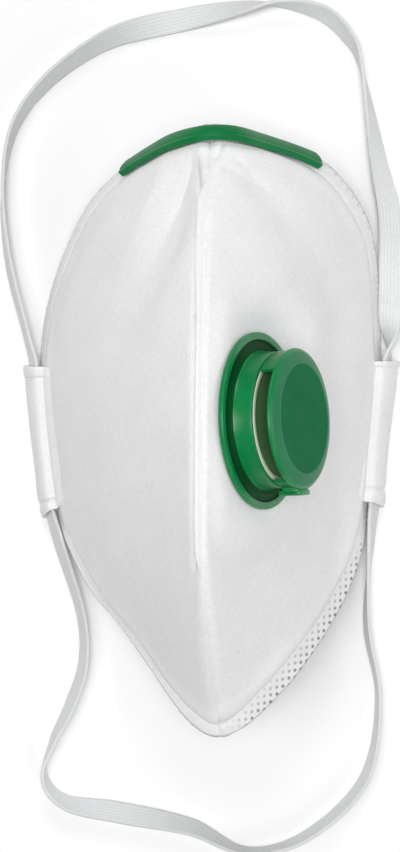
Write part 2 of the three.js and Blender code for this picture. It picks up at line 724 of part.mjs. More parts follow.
function sleeveGeometry(side) {
  const rows = side === "left" ? LEFT_SLEEVE : RIGHT_SLEEVE;
  const outerRings = [];
  const innerRings = [];
  for (const row of rows) {
    const t = row[SLEEVE_COLUMNS.indexOf("t")];
    const swell = row[SLEEVE_COLUMNS.indexOf("swell")];
    const { center, down, outward } = sleeveFrame(side, t);
    const place = (d, n) => {
      const point = center.clone().addScaledVector(down, d).addScaledVector(outward, n);
      point.z = Math.max(0, point.z);
      return point;
    };
    const mouth = row[SLEEVE_COLUMNS.indexOf("mouth")];
    outerRings.push(TUBE_SECTION.map(([d, n]) => place(d * swell, n < 0 ? n : n * swell * swell)));
    innerRings.push(CHANNEL_SECTION.map(([d, n]) => place(d * Math.min(mouth, 1.08), n * mouth)));
  }
  const positions = [];
  const faces = [];
  const starts = { outer: [], inner: [] };
  const store = (ring) => {
    const start = positions.length / 3;
    ring.forEach((p) => positions.push(p.x, p.y, p.z));
    return start;
  };
  outerRings.forEach((ring) => starts.outer.push(store(ring)));
  innerRings.forEach((ring) => starts.inner.push(store(ring)));
  const join = (list, count, turn) => {
    for (let i = 0; i < list.length - 1; i++) {
      for (let k = 0; k < count; k++) {
        const k1 = (k + 1) % count;
        const quad = [list[i] + k, list[i + 1] + k, list[i + 1] + k1, list[i] + k1];
        if (turn) quad.reverse();
        faces.push(quad[0], quad[1], quad[2], quad[0], quad[2], quad[3]);
      }
    }
  };
  join(starts.outer, TUBE_SECTION.length, false);
  join(starts.inner, CHANNEL_SECTION.length, true);
  const flat = (section) => section.map(([d, n]) => new THREE.Vector2(d, n));
  const cap = THREE.ShapeUtils.triangulateShape(flat(TUBE_SECTION), [flat(CHANNEL_SECTION)]);
  const lastRow = rows.length - 1;
  const pick = (row, k) =>
    k < TUBE_SECTION.length ? starts.outer[row] + k : starts.inner[row] + k - TUBE_SECTION.length;
  const sample = signedArea(TUBE_SECTION) > 0 ? 1 : -1;
  for (const [a, b, c] of cap) {
    const up = triangleSign(a, b, c) * sample > 0;
    const tri = up ? [a, b, c] : [a, c, b];
    faces.push(pick(0, tri[0]), pick(0, tri[1]), pick(0, tri[2]));
    faces.push(pick(lastRow, tri[0]), pick(lastRow, tri[2]), pick(lastRow, tri[1]));
  }
  return facingOut(positions, faces);
}

function signedArea(section) {
  let area = 0;
  section.forEach(([x, y], i) => {
    const [x1, y1] = section[(i + 1) % section.length];
    area += x * y1 - x1 * y;
  });
  return area / 2;
}

function triangleSign(a, b, c) {
  const all = [...TUBE_SECTION, ...CHANNEL_SECTION];
  return signedArea([all[a], all[b], all[c]]);
}

// ---------- head strap ----------
function headStrap() {
  const rows = STRAP_ROUTE;
  const [xAt, yAt, liftAt, leanAt] = ["x", "y", "lift", "lean"].map((c) => STRAP_COLUMNS.indexOf(c));
  const count = rows.length;
  const steps = 3;
  const rings = [];
  const place = (t) => {
    const i = Math.floor(t) % count;
    const four = [-1, 0, 1, 2].map((k) => rows[(i + k + count) % count]);
    return alongRows([four[1], four[2]], four[0], four[3], t - Math.floor(t));
  };
  for (let i = 0; i < count * steps; i++) {
    const t = i / steps;
    const here = place(t);
    const before = place((t - 0.05 + count) % count);
    const after = place((t + 0.05) % count);
    const ahead = new THREE.Vector3(after[xAt] - before[xAt], after[yAt] - before[yAt], 0).normalize();
    const inward = new THREE.Vector3(ahead.y, -ahead.x, 0);
    const lean = THREE.MathUtils.degToRad(here[leanAt]);
    const wide = new THREE.Vector3(0, 0, Math.cos(lean)).addScaledVector(inward, Math.sin(lean));
    const thin = new THREE.Vector3().crossVectors(ahead, wide);
    const reach = (STRAP_WIDTH / 2) * Math.abs(wide.z) + (STRAP_THICK / 2) * Math.abs(thin.z);
    const center = new THREE.Vector3(here[xAt], here[yAt], Math.max(STRAP_LOWEST, here[liftAt]) + reach);
    rings.push(
      [[-1, -1], [1, -1], [1, 1], [-1, 1]].map(([a, b]) =>
        center
          .clone()
          .addScaledVector(wide, (a * STRAP_WIDTH) / 2)
          .addScaledVector(thin, (b * STRAP_THICK) / 2),
      ),
    );
  }
  return solidFromRings(rings, true);
}

// ---------- the object ----------
const finish = {
  cloth: { color: 0xeceae6, roughness: 0.95, metalness: 0 },
  elastic: { color: 0xdedddb, roughness: 0.85, metalness: 0 },
  green: { color: 0x14783c, roughness: 0.35, metalness: 0 },
  cream: { color: 0xe4e2c4, roughness: 0.6, metalness: 0 },
};

const root = new THREE.Group();
root.name = "valved_dust_mask";

function add(name, geometry, look) {
  const mesh = new THREE.Mesh(geometry, new THREE.MeshStandardMaterial(look));
  mesh.name = name;
  root.add(mesh);
}

add("left_panel", panelGeometry("left"), finish.cloth);
add("right_panel", rightPanelWithHole(), finish.cloth);
add("center_seam", centerSeam(), finish.cloth);
add("nose_clip", noseClip(), finish.green);
add("valve_base", valveBase().applyMatrix4(valveFrame), finish.green);
add("valve_membrane", valveMembrane().applyMatrix4(valveFrame), finish.cream);
add("valve_cap", valveCap().applyMatrix4(valveFrame), finish.green);
add("valve_retainer", valveRetainer().applyMatrix4(valveFrame), finish.green);
add("left_strap_sleeve", sleeveGeometry("left"), finish.cloth);
add("right_strap_sleeve", sleeveGeometry("right"), finish.cloth);
add("head_strap", headStrap(), finish.elastic);

export default root;
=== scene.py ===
"""Looks of the valved dust mask: cloth panels, seam, nose clip, valve, strap sleeves and head strap.

The shape tables are in millimetres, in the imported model's frame: +X from the plain panel to the
valve panel, +Y from chin to nose, +Z up from the surface that the mask rests on.
"""

import math

import bmesh
import bpy
import numpy as np
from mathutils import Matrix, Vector


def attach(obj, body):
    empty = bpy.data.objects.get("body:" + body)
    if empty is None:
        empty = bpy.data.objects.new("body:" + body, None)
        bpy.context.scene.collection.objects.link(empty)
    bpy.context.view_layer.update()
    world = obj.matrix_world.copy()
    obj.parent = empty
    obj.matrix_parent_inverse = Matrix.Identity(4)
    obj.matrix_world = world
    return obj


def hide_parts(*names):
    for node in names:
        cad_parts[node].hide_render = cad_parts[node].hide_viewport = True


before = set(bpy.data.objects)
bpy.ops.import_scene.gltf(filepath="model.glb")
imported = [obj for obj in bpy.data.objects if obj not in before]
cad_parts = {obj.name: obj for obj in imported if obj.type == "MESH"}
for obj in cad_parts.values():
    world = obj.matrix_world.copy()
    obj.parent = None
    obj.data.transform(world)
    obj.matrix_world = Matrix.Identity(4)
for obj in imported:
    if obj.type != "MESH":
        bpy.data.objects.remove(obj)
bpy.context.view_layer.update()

MM = 0.001

# ---------- sizes; the stations and the strap's route are those of the CAD part ----------
# How far the cloth reaches each way from its middle surface at the border, and out and in elsewhere.
BORDER_HALF = 0.45
WALL_OUT = 0.9
WALL_IN = 1.1
BORDER_STEP = 1.6  # how wide the step between the two is
GAP = 0.3

VALVE_CENTER = np.array([13.7, 3.3, 70.0])
VALVE_AXIS = np.array([0.8888, 0.0450, 0.4561])
VALVE_HOLE_RADIUS = 17.2
VALVE_FLAT_RADIUS = 25.0
VALVE_BLEND_RADIUS = 38.0

STRAP_WIDTH = 7.0
STRAP_THICK = 1.1
STRAP_LOWEST = 0.05

# Stations along the seam from nose to chin: the seam point, the matching points on the left and
# right rims, and how far the wall bows out between them.
STATION_COLUMNS = ["seam", "left", "right", "bow"]
STATIONS = [
    [[0.9, 82.5, 57.0], [0.9, 82.5, 57.0], [0.9, 82.5, 57.0], 0.0],
    [[1.0, 79.2, 59.3], [-4.6, 81.6, 53.8], [6.2, 81.9, 54.2], 1.3],
    [[1.0, 73.5, 63.0], [-11.0, 80.0, 45.5], [13.0, 81.2, 46.5], 2.8],
    [[0.9, 64.5, 68.2], [-18.6, 77.6, 35.5], [22.5, 79.9, 37.0], 3.1],
    [[0.6, 53.5, 74.2], [-27.0, 73.6, 26.5], [32.4, 77.2, 28.0], 2.8],
    [[0.4, 42.5, 79.8], [-35.3, 66.2, 19.0], [40.5, 70.5, 20.2], 2.6],
    [[0.2, 31.5, 84.6], [-42.3, 55.2, 10.8], [46.8, 61.5, 11.0], 2.3],
    [[0.0, 20.5, 88.2], [-47.6, 42.5, 5.4], [49.6, 49.5, 5.6], 2.1],
    [[-0.1, 10.0, 90.6], [-50.6, 30.5, 2.3], [50.7, 35.0, 2.3], 2.0],
    [[-0.2, 0.0, 91.9], [-51.6, 19.0, 0.9], [51.2, 20.5, 0.9], 2.0],
    [[-0.2, -10.5, 92.2], [-50.6, 4.5, 0.7], [49.9, 6.5, 0.7], 2.0],
    [[-0.3, -21.0, 91.0], [-49.0, -9.5, 0.7], [48.5, -7.5, 0.7], 2.0],
    [[-0.1, -32.0, 87.8], [-47.1, -22.0, 0.9], [47.4, -21.5, 0.9], 2.0],
    [[0.3, -43.0, 82.4], [-42.6, -33.5, 4.5], [45.2, -34.5, 5.5], 2.0],
    [[1.0, -53.5, 75.2], [-35.0, -45.9, 12.0], [40.2, -46.5, 13.5], 1.9],
    [[1.8, -63.0, 67.4], [-25.6, -55.2, 21.5], [33.0, -57.5, 24.0], 1.6],
    [[2.5, -71.0, 60.2], [-16.7, -65.6, 31.7], [23.5, -68.5, 35.5], 1.2],
    [[3.1, -77.5, 54.3], [-8.0, -76.2, 41.5], [13.5, -77.4, 44.5], 0.7],
    [[3.4, -80.6, 51.4], [-1.6, -81.2, 47.6], [7.6, -81.0, 48.4], 0.3],
    [[3.6, -82.3, 50.0], [3.6, -82.3, 50.0], [3.6, -82.3, 50.0], 0.0],
]
LAST = len(STATIONS) - 1

# The welded border along each rim: place, width, and how far its edge curls up, left and right.
BORDER_COLUMNS = ["t", "left_width", "left_lift", "right_width", "right_lift"]
BORDER = [
    [0.0, 5.0, 0.0, 5.0, 0.0],
    [2.5, 5.6, 0.3, 5.6, 0.4],
    [5.0, 6.0, 0.8, 6.5, 1.2],
    [7.5, 6.0, 0.8, 7.0, 1.5],
    [8.7, 6.0, 0.0, 6.0, 0.0],
    [12.2, 6.0, 0.0, 6.0, 0.0],
    [12.8, 6.8, 3.2, 7.2, 1.4],
    [13.6, 7.2, 4.6, 8.1, 2.3],
    [14.8, 6.4, 4.6, 8.2, 2.7],
    [16.0, 4.8, 3.4, 8.0, 3.0],
    [17.2, 4.2, 1.8, 4.6, 1.8],
    [18.2, 2.9, 0.7, 2.9, 0.7],
    [19.0, 1.8, 0.2, 1.8, 0.2],
]

# Long soft dents, seen from above: from one point to another, width and depth.
DENT_COLUMNS = ["side", "from", "to", "width", "depth"]
DENTS = [
    ["left", [-4, 70], [-22, 26], 11, 1.0],
    ["left", [-30, 62], [-44, 34], 8, -0.8],
    ["left", [-12, -8], [-20, -52], 13, 0.9],
    ["right", [14, 66], [34, 44], 10, 1.3],
    ["right", [36, 36], [38, -34], 8, 1.1],
    ["right", [14, -34], [16, -60], 12, 0.8],
]
# Finer folds on top of those, in the same columns.
FOLDS = [
    ["left", [-6, 60], [-15, 34], 5.0, 0.4],
    ["right", [8, 72], [16, 66], 2.2, 0.35],
    ["right", [4.6, 76.5], [2.6, 72.0], 0.9, 1.3],
    ["right", [20, 40], [30, 30], 6.0, -0.4],
    ["right", [10, -30], [24, -40], 5.0, -0.4],
]

# Creases with a sharp bottom line: from one point to another, how far each side of it reaches
# toward the seam and toward the rim, and the depth.
CREASE_COLUMNS = ["side", "from", "to", "seamward", "rimward", "depth"]
CREASES = [
    ["left", [-4.4, 73.0], [-15.5, 46.5], 6.5, 14.0, 2.8],
    ["left", [-8.6, 70.5], [-13.5, 62.8], 2.2, 4.0, 0.6],
    ["right", [4.6, 70.0], [13.0, 66.5], 2.4, 2.6, 0.5],
]
# Over which shares of its length a crease sets in and fades out.
CREASE_START = (-0.2, 0.1)
CREASE_END = (0.7, 1.5)

# Lines pressed into the cloth: distance, reach each way and depth. The first two run along the
# border's inner edge, the third beside the tall fin on the left panel.
BORDER_CREASE = (0.2, 0.9, 0.55)
BORDER_ROLL = (3.2, 2.0, -0.35)
STITCH_LINE = (3.1, 0.6, 1.1)
STITCH_START = (2.6, 3.6)
# The cloth's unevenness: how long its waves are, their seed and how high they are.
RIPPLES = [(26, 5, 0.16), (9, 6, 0.05)]
RAGGED_LENGTH = 2.4
RAGGED_DEPTH = 0.22
RAGGED_REACH = 2.5  # how far in from the rim the cut edge is ragged

# Where along the seam the fin rises and falls again.
FIN_START = (2.3, 3.5)
FIN_END = (11.7, 12.7)
# How far from the seam the ridge is rounded beside the tall fin, and how much more past its ends.
RIDGE_ROUND = 0.7
RIDGE_NOSE = 2.4
RIDGE_NOSE_END = (1.8, 3.4)
RIDGE_CHIN = 2.0
RIDGE_CHIN_START = (11.5, 14.5)

# One closed loop of strap: where its centre line runs on the surface, how far its lower edge is
# lifted, and how far the band leans from standing on edge, in degrees, toward the loop's inside.
STRAP_COLUMNS = ["x", "y", "lift", "lean"]
STRAP_ROUTE = [
    [-48.35, -23.6, 0.9, 24],
    [-49.65, -17.4, 0.5, 22],
    [-51.9, 1.5, 0.55, 22],
    [-53.1, 19.4, 0.75, 23],
    [-55.3, 29.0, 0.3, 18],
    [-60.8, 50.9, 0.1, 19],
    [-62.7, 72.0, 0.1, 9],
    [-59.6, 91.0, 0.1, -7],
    [-49.7, 105.4, 0.1, -18],
    [-33.3, 117.3, 0.1, -34],
    [-17.0, 122.9, 0.1, -72],
    [9.0, 127.8, 0.1, -138],
    [20.8, 128.8, 0.1, -178],
    [33.4, 125.9, 0.1, -203],
    [41.2, 118.8, 0.1, -198],
    [45.2, 109.6, 0.1, -178],
    [50.2, 82.0, 0.1, -132],
    [53.3, 66.0, 2.2, -106],
    [53.5, 50.0, 6.6, -97],
    [53.4, 37.0, 6.4, -88],
    [53.7, 28.6, 1.8, -25],
    [52.8, 21.0, 0.75, 23],
    [51.85, 9.1, 0.55, 22],
    [50.1, -7.6, 0.55, 22],
    [49.0, -20.8, 0.65, 25],
    [48.2, -30.0, 0.2, 18],
    [46.8, -57.0, 0.1, -8],
    [50.3, -80.0, 0.1, -5],
    [45.9, -104.0, 0.1, -12],
    [29.0, -120.8, 0.1, -8],
    [11.0, -125.7, 0.1, -2],
    [-6.0, -118.6, 0.1, -27],
    [-28.0, -114.4, 0.1, -46],
    [-44.0, -111.2, 0.1, -20],
    [-50.2, -103.4, 0.1, -2],
    [-47.6, -93.2, 0.1, 14],
    [-42.6, -82.8, 0.1, 25],
    [-38.4, -70.0, 0.1, 25],
    [-38.9, -55.0, 0.1, 24],
    [-45.2, -34.5, 0.3, 28],
]


# ---------- numbers and curves ----------
def smoothstep(low, high, x):
    t = np.clip((np.asarray(x, float) - low) / (high - low), 0, 1)
    return t * t * (3 - 2 * t)


def along_rows(rows, before, after, t):
    """A smooth curve through rows, read at the places t; before and after continue it past its ends."""
    rows = np.vstack([before, rows, after]).astype(float)
    t = np.asarray(t, float)
    i = np.clip(np.floor(t).astype(int), 0, len(rows) - 4)
    f = (t - i)[..., None]
    a, b, c, d = rows[i], rows[i + 1], rows[i + 2], rows[i + 3]
    bend = (c - a) * f + (2 * a - 5 * b + 4 * c - d) * f**2 + (3 * b - 3 * c + d - a) * f**3
    return b + 0.5 * bend


def open_curve(rows, t):
    """A smooth curve through rows that runs straight on past its ends."""
    return along_rows(rows, 2 * rows[0] - rows[1], 2 * rows[-1] - rows[-2], t)


def between(start, end, t):
    """1 between two soft steps, and 0 before the first and after the second."""
    return smoothstep(*start, t) * (1 - smoothstep(*end, t))


def run_length(points):
    """How far along a line of points each point is."""
    return np.concatenate([[0], np.cumsum(np.linalg.norm(np.diff(points, axis=0), axis=1))])


def named(columns, rows):
    """The columns of a table by name."""
    return dict(zip(columns, np.asarray(rows, float).T))


def unit(v):
    return v / np.maximum(np.linalg.norm(v, axis=-1, keepdims=True), 1e-12)


def from_line(points, line):
    """Distance from each point to the nearest point of a finely sampled line."""
    flat = points.reshape(-1, 3)
    best = np.full(len(flat), 1e9)
    for start, end in zip(line[:-1], line[1:]):
        way = end - start
        f = np.clip(((flat - start) @ way) / max(way @ way, 1e-12), 0, 1)
        best = np.minimum(best, np.linalg.norm(flat - start - f[:, None] * way, axis=1))
    return best.reshape(points.shape[:-1])


def ripple(x, y, size, seed):
    """Smooth waves of about that size with no repeat that shows, from -1 to 1."""
    rng = np.random.default_rng(seed)
    total = np.zeros_like(x)
    for _ in range(7):
        angle, phase = rng.uniform(0, 2 * math.pi, 2)
        length = size * rng.uniform(0.7, 1.5)
        total += np.sin((x * math.cos(angle) + y * math.sin(angle)) * 2 * math.pi / length + phase)
    return total / 4.0


# ---------- the panels' surface ----------
def column(name):
    return np.array([row[STATION_COLUMNS.index(name)] for row in STATIONS], float)


SEAM_ROWS = column("seam")
RIM_ROWS = {"left": column("left"), "right": column("right")}
BOW_ROWS = column("bow")[:, None]
OTHER = {"left": "right", "right": "left"}
SIGN = {"left": -1.0, "right": 1.0}


def seam_point(t):
    return open_curve(SEAM_ROWS, t)


def rim_point(side, t):
    other = RIM_ROWS[OTHER[side]]
    return along_rows(RIM_ROWS[side], other[1], other[-2], t)


def border_value(name, t):
    border = named(BORDER_COLUMNS, BORDER)
    return np.interp(t, border["t"], border[name])


def lines_on(side, columns, table, x, y):
    """Each of a side's rows, with its line's start and way and each point's place along it."""
    for row in table:
        line = dict(zip(columns, row))
        if line["side"] == side:
            start = np.array(line["from"], float)
            way = np.array(line["to"], float) - start
            f = ((x - start[0]) * way[0] + (y - start[1]) * way[1]) / (way @ way)
            yield line, start, way, f


def dents(table, side, x, y):
    depth = np.zeros_like(x)
    for dent, start, way, f in lines_on(side, DENT_COLUMNS, table, x, y):
        f = np.clip(f, 0, 1)
        away = np.hypot(x - start[0] - f * way[0], y - start[1] - f * way[1])
        depth += dent["depth"] * np.exp(-((away / (0.6 * dent["width"])) ** 2))
    return depth


def creases(side, x, y):
    """How deep the creases are: falling straight from the seam's side, easing out on the rim's."""
    depth = np.zeros_like(x)
    for crease, start, way, f in lines_on(side, CREASE_COLUMNS, CREASES, x, y):
        off = ((x - start[0]) * way[1] - (y - start[1]) * way[0]) / np.linalg.norm(way) * -SIGN[side]
        seamward = np.clip(1 - off / crease["seamward"], 0, 1) ** 1.2
        rimward = np.exp(np.minimum(off, 0) / crease["rimward"])
        depth += crease["depth"] * between(CREASE_START, CREASE_END, f) * np.minimum(seamward, rimward)
    return depth


def rib_slope(side, t):
    """How steeply the panel falls from the seam."""
    fall = seam_point(t) - rim_point(side, t)
    return np.clip(fall[..., 2] / np.maximum(np.abs(fall[..., 0]), 0.5), 0, 2)


def ridge_round(t):
    """How far from the seam the panels' ridge is rounded: little where the fin stands tall."""
    noseward = RIDGE_NOSE * (1 - smoothstep(*RIDGE_NOSE_END, t))
    return RIDGE_ROUND + noseward + RIDGE_CHIN * smoothstep(*RIDGE_CHIN_START, t)


def ruled(side, t, u):
    """The panel before dents: straight ribs from seam to rim that bow out, rounded over the seam."""
    seam = seam_point(t)
    rim = rim_point(side, t)
    rib = rim - seam
    point = seam + rib * u[..., None]
    outward = np.stack([-rib[..., 2], np.zeros_like(u), rib[..., 0]], axis=-1) * SIGN[side]
    bow = along_rows(BOW_ROWS, [0], [0], t)[..., 0]
    point = point + unit(outward) * (bow * 4 * u * (1 - u))[..., None]
    away = np.abs(point[..., 0] - seam[..., 0])
    ridge = ridge_round(t)
    point[..., 2] -= rib_slope(side, t) * ridge / 2 * np.clip(1 - away / ridge, 0, 1) ** 2
    return point


def normal_of(side, points):
    """Outward normals of a grid of points, from nose to chin and from seam to rim."""
    normal = np.cross(np.gradient(points, axis=0), np.gradient(points, axis=1))
    return unit(normal * SIGN[side])


def pressed(distance, place, reach, depth):
    return depth * np.exp(-(((distance - place) / reach) ** 2))


def fine_depth(side, point, t, from_seam, from_rim, width):
    """How far folds, creases, ripples and pressed lines sink below the smooth wall."""
    x, y = point[..., 0], point[..., 1]
    soft = smoothstep(0, 4, from_seam) * smoothstep(0, 3, from_rim - width)
    depth = dents(FOLDS, side, x, y) * smoothstep(0.3, 2, from_seam) * soft
    depth += creases(side, x, y) * smoothstep(0.5, 4, from_seam) * smoothstep(0, 2, from_rim - 1.5)
    for length, seed, height in RIPPLES:
        depth += height * ripple(x * 1.6, y, length, seed) * soft
    depth += pressed(from_rim - width, *BORDER_CREASE) + pressed(from_rim - width, *BORDER_ROLL)
    if side == "left":
        depth += between(STITCH_START, FIN_END, t) * pressed(from_seam, *STITCH_LINE)
    return depth


def panel_grid(side, t, u, fine=True):
    """Middle surface points, their outward normals, and the distances from the seam and the rim."""
    point = ruled(side, t, u)
    line_t = np.linspace(0, LAST, 260)
    from_rim = from_line(point, rim_point(side, line_t))
    from_seam = from_line(point, seam_point(line_t))
    normal = normal_of(side, point)
    inside = smoothstep(2, 14, from_seam) * smoothstep(8, 20, from_rim)
    depth = dents(DENTS, side, point[..., 0], point[..., 1]) * inside
    width = border_value(side + "_width", t)
    if fine:
        depth += fine_depth(side, point, t, from_seam, from_rim, width)
    point = point - normal * depth[..., None]
    if side == "right":
        axis = unit(VALVE_AXIS)
        offset = point - VALVE_CENTER
        height = offset @ axis
        radius = np.linalg.norm(offset - height[..., None] * axis, axis=-1)
        flat = 1 - smoothstep(VALVE_FLAT_RADIUS, VALVE_BLEND_RADIUS, radius)
        free = smoothstep(0, 7, from_seam)
        point = point - axis * ((height + WALL_OUT) * flat * free)[..., None]
    if fine:
        curl = np.clip(1 - from_rim / width, 0, 1)
        point[..., 2] += border_value(side + "_lift", t) * curl**1.5
        edge = np.clip(1 - from_rim / RAGGED_REACH, 0, 1)
        ragged = RAGGED_DEPTH * ripple(point[..., 1] * 1.3, point[..., 0], RAGGED_LENGTH, 8)
        away = unit(rim_point(side, t) - seam_point(t))
        point = point + away * (ragged * edge)[..., None]
    normal = normal_of(side, point)
    normal[:, 0, 0] = 0  # at the seam both panels' walls meet in its plane
    return point, unit(normal), from_seam, from_rim


# ---------- meshes ----------
def new_piece(name, points, faces, materials, uv=None, face_material=None, sharp=40):
    """A smooth-shaded mesh object from points in millimetres. uv holds metres for each point."""
    mesh = bpy.data.meshes.new(name)
    mesh.from_pydata((np.reshape(points, (-1, 3)) * MM).tolist(), [], [list(f) for f in faces])
    for material in materials:
        mesh.materials.append(material)
    if face_material is not None:
        mesh.polygons.foreach_set("material_index", np.asarray(face_material, np.int32))
    if uv is not None:
        layer = mesh.uv_layers.new(name="cloth")
        corners = np.empty(len(mesh.loops), np.int32)
        mesh.loops.foreach_get("vertex_index", corners)
        layer.data.foreach_set("uv", np.reshape(uv, (-1, 2)).astype(np.float32)[corners].ravel())
    build = bmesh.new()
    build.from_mesh(mesh)
    bmesh.ops.remove_doubles(build, verts=build.verts, dist=1e-6)
    bmesh.ops.recalc_face_normals(build, faces=build.faces)
    build.to_mesh(mesh)
    build.free()
    mesh.shade_smooth()
    mesh.set_sharp_from_angle(angle=math.radians(sharp))
    piece = bpy.data.objects.new(name, mesh)
    bpy.context.scene.collection.objects.link(piece)
    return piece


def float_attribute(piece, name, values):
    layer = piece.data.attributes.new(name, "FLOAT", "POINT")
    layer.data.foreach_set("value", np.asarray(values, np.float32))


def ring_faces(rings, count, closed, caps=True):
    """Faces between rings of count points each; closed joins the last ring to the first."""
    faces = []
    for i in range(rings if closed else rings - 1):
        here, there = i * count, ((i + 1) % rings) * count
        for k in range(count):
            k1 = (k + 1) % count
            faces.append((here + k, there + k, there + k1, here + k1))
    if caps and not closed:
        faces.append(tuple(range(count)))
        faces.append(tuple(reversed(range((rings - 1) * count, rings * count))))
    return faces


def round_corners(section, steps=4):
    """A closed section of rows [a, b, radius] with each corner turned into an arc of that radius."""
    rows = np.array(section, float)
    out = []
    for i, (a, b, radius) in enumerate(rows):
        here = np.array([a, b])
        if radius <= 0:
            out.append(here)
            continue
        back = rows[i - 1][:2] - here
        ahead = rows[(i + 1) % len(rows)][:2] - here
        reach = min(radius, 0.49 * np.linalg.norm(back), 0.49 * np.linalg.norm(ahead))
        start = here + unit(back) * reach
        end = here + unit(ahead) * reach
        for f in np.linspace(0, 1, steps + 1):
            out.append((1 - f) ** 2 * start + 2 * f * (1 - f) * here + f**2 * end)
    return np.array(out)


def joined(parts):
    """Several pairs of points and faces as one."""
    points, faces = [], []
    for part_points, part_faces in parts:
        start = sum(len(p) for p in points)
        points.append(np.asarray(part_points, float))
        faces += [tuple(k + start for k in face) for face in part_faces]
    return np.vstack(points), faces


def bevelled(piece, width):
    sharp = math.radians(45)
    bevel = piece.modifiers.new("edges", "BEVEL")
    bevel.width = width * MM
    bevel.segments = 2
    bevel.limit_method = "ANGLE"
    bevel.angle_limit = sharp
    apply_modifiers(piece)
    piece.data.set_sharp_from_angle(angle=sharp)


def apply_modifiers(piece):
    ready = piece.evaluated_get(bpy.context.evaluated_depsgraph_get())
    mesh = bpy.data.meshes.new_from_object(ready)
    piece.modifiers.clear()
    piece.data = mesh


# ---------- materials ----------
class Nodes:
    """A short way to lay out one material's nodes."""

    def __init__(self, name):
        self.material = bpy.data.materials.new(name)
        self.material.use_nodes = True
        self.tree = self.material.node_tree

    def plug(self, node, inputs):
        """Sets a node's inputs, each to a value or to another node's output."""
        for key, value in inputs.items():
            if isinstance(value, bpy.types.NodeSocket):
                self.tree.links.new(value, node.inputs[key])
            else:
                node.inputs[key].default_value = value

    def add(self, kind, settings, inputs):
        node = self.tree.nodes.new("ShaderNode" + kind)
        for key, value in settings.items():
            setattr(node, key, value)
        self.plug(node, inputs)
        return node

    def spot(self):
        return self.add("TexCoord", {}, {}).outputs["Object"]

    def cloth_place(self):
        return self.add("UVMap", {"uv_map": "cloth"}, {}).outputs["UV"]

    def attribute(self, name):
        return self.add("Attribute", {"attribute_name": name}, {}).outputs["Fac"]

    def math(self, operation, first, second):
        return self.add("Math", {"operation": operation}, {0: first, 1: second}).outputs[0]

    def scaled(self, vector, scale):
        return self.add("Mapping", {}, {"Vector": vector, "Scale": scale}).outputs["Vector"]

    def noise(self, vector, scale, detail, rough):
        inputs = {"Vector": vector, "Scale": scale, "Detail": detail, "Roughness": rough}
        return self.add("TexNoise", {}, inputs).outputs["Fac"]

    def ramp(self, value, stops):
        node = self.add("ValToRGB", {}, {"Fac": value})
        for element, (place, color) in zip(node.color_ramp.elements, stops):
            element.position = place
            element.color = (*color, 1)
        return node.outputs["Color"]

    def mix_color(self, factor, first, second):
        inputs = {0: factor, 6: first, 7: (*second, 1)}
        return self.add("Mix", {"data_type": "RGBA"}, inputs).outputs[2]

    def bump(self, height, distance, strength):
        inputs = {"Height": height, "Distance": distance, "Strength": strength}
        return self.add("Bump", {}, inputs).outputs["Normal"]

    def finish(self, inputs):
        self.plug(self.tree.nodes["Principled BSDF"], inputs)
        return self.material


def woven_height(n, place):
    """Crossed fine threads: one noise drawn out along the cloth, one across it."""
    along = n.noise(n.scaled(place, (2600, 500, 1)), 1.0, 2.0, 0.6)
    across = n.noise(n.scaled(place, (500, 2600, 1)), 1.0, 2.0, 0.6)
    return n.math("ADD", along, across)


DOT_SPACING = (1.72, 1.94)  # of the weld dots, along x and y


def cloth_material(name, dots):
    """White nonwoven cloth; with dots, it also has the borders' weld dots and a grey line of painted shade
    along the rim, where the edge rounds away.
    """
    n = Nodes(name)
    place = n.cloth_place()
    weave = woven_height(n, place)
    fluff = n.noise(n.scaled(place, (900, 900, 1)), 1.0, 3.0, 0.6)
    cloud = n.noise(n.scaled(place, (90, 90, 1)), 1.0, 2.0, 0.5)
    height = n.math("ADD", n.math("MULTIPLY", weave, 0.6), n.math("MULTIPLY", fluff, 0.5))
    tone = n.math("ADD", n.math("MULTIPLY", weave, 0.42), n.math("MULTIPLY", cloud, 0.18))
    color = n.ramp(tone, [(0.30, (0.735, 0.735, 0.738)), (0.70, (0.87, 0.87, 0.867))])
    if dots:
        spots = n.scaled(n.spot(), (*(1 / (spacing * MM) for spacing in DOT_SPACING), 1))
        grid = n.add(
            "TexVoronoi",
            {"voronoi_dimensions": "2D", "feature": "F1"},
            {"Vector": spots, "Scale": 1.0, "Randomness": 0.06},
        ).outputs["Distance"]
        hole = n.ramp(grid, [(0.15, (1, 1, 1)), (0.32, (0, 0, 0))])
        mark = n.math("MULTIPLY", hole, n.attribute("border"))
        height = n.math("SUBTRACT", height, n.math("MULTIPLY", mark, 2.2))
        # The weld dots are the cloth's own; their dark grey is painted shade, the shaded inside of the mask
        # showing through the fused points.
        color = n.mix_color(mark, color, (0.16, 0.16, 0.16))
        # Painted shade: a grey line along the rim, where the cloth's edge rounds away.
        color = n.mix_color(n.attribute("edge_shade"), color, (0.34, 0.34, 0.335))
    sheen = {"Sheen Weight": 0.05, "Sheen Roughness": 0.6, "Specular IOR Level": 0.25}
    return n.finish({"Base Color": color, "Normal": n.bump(height, 0.0001, 1.0), "Roughness": 0.92, **sheen})


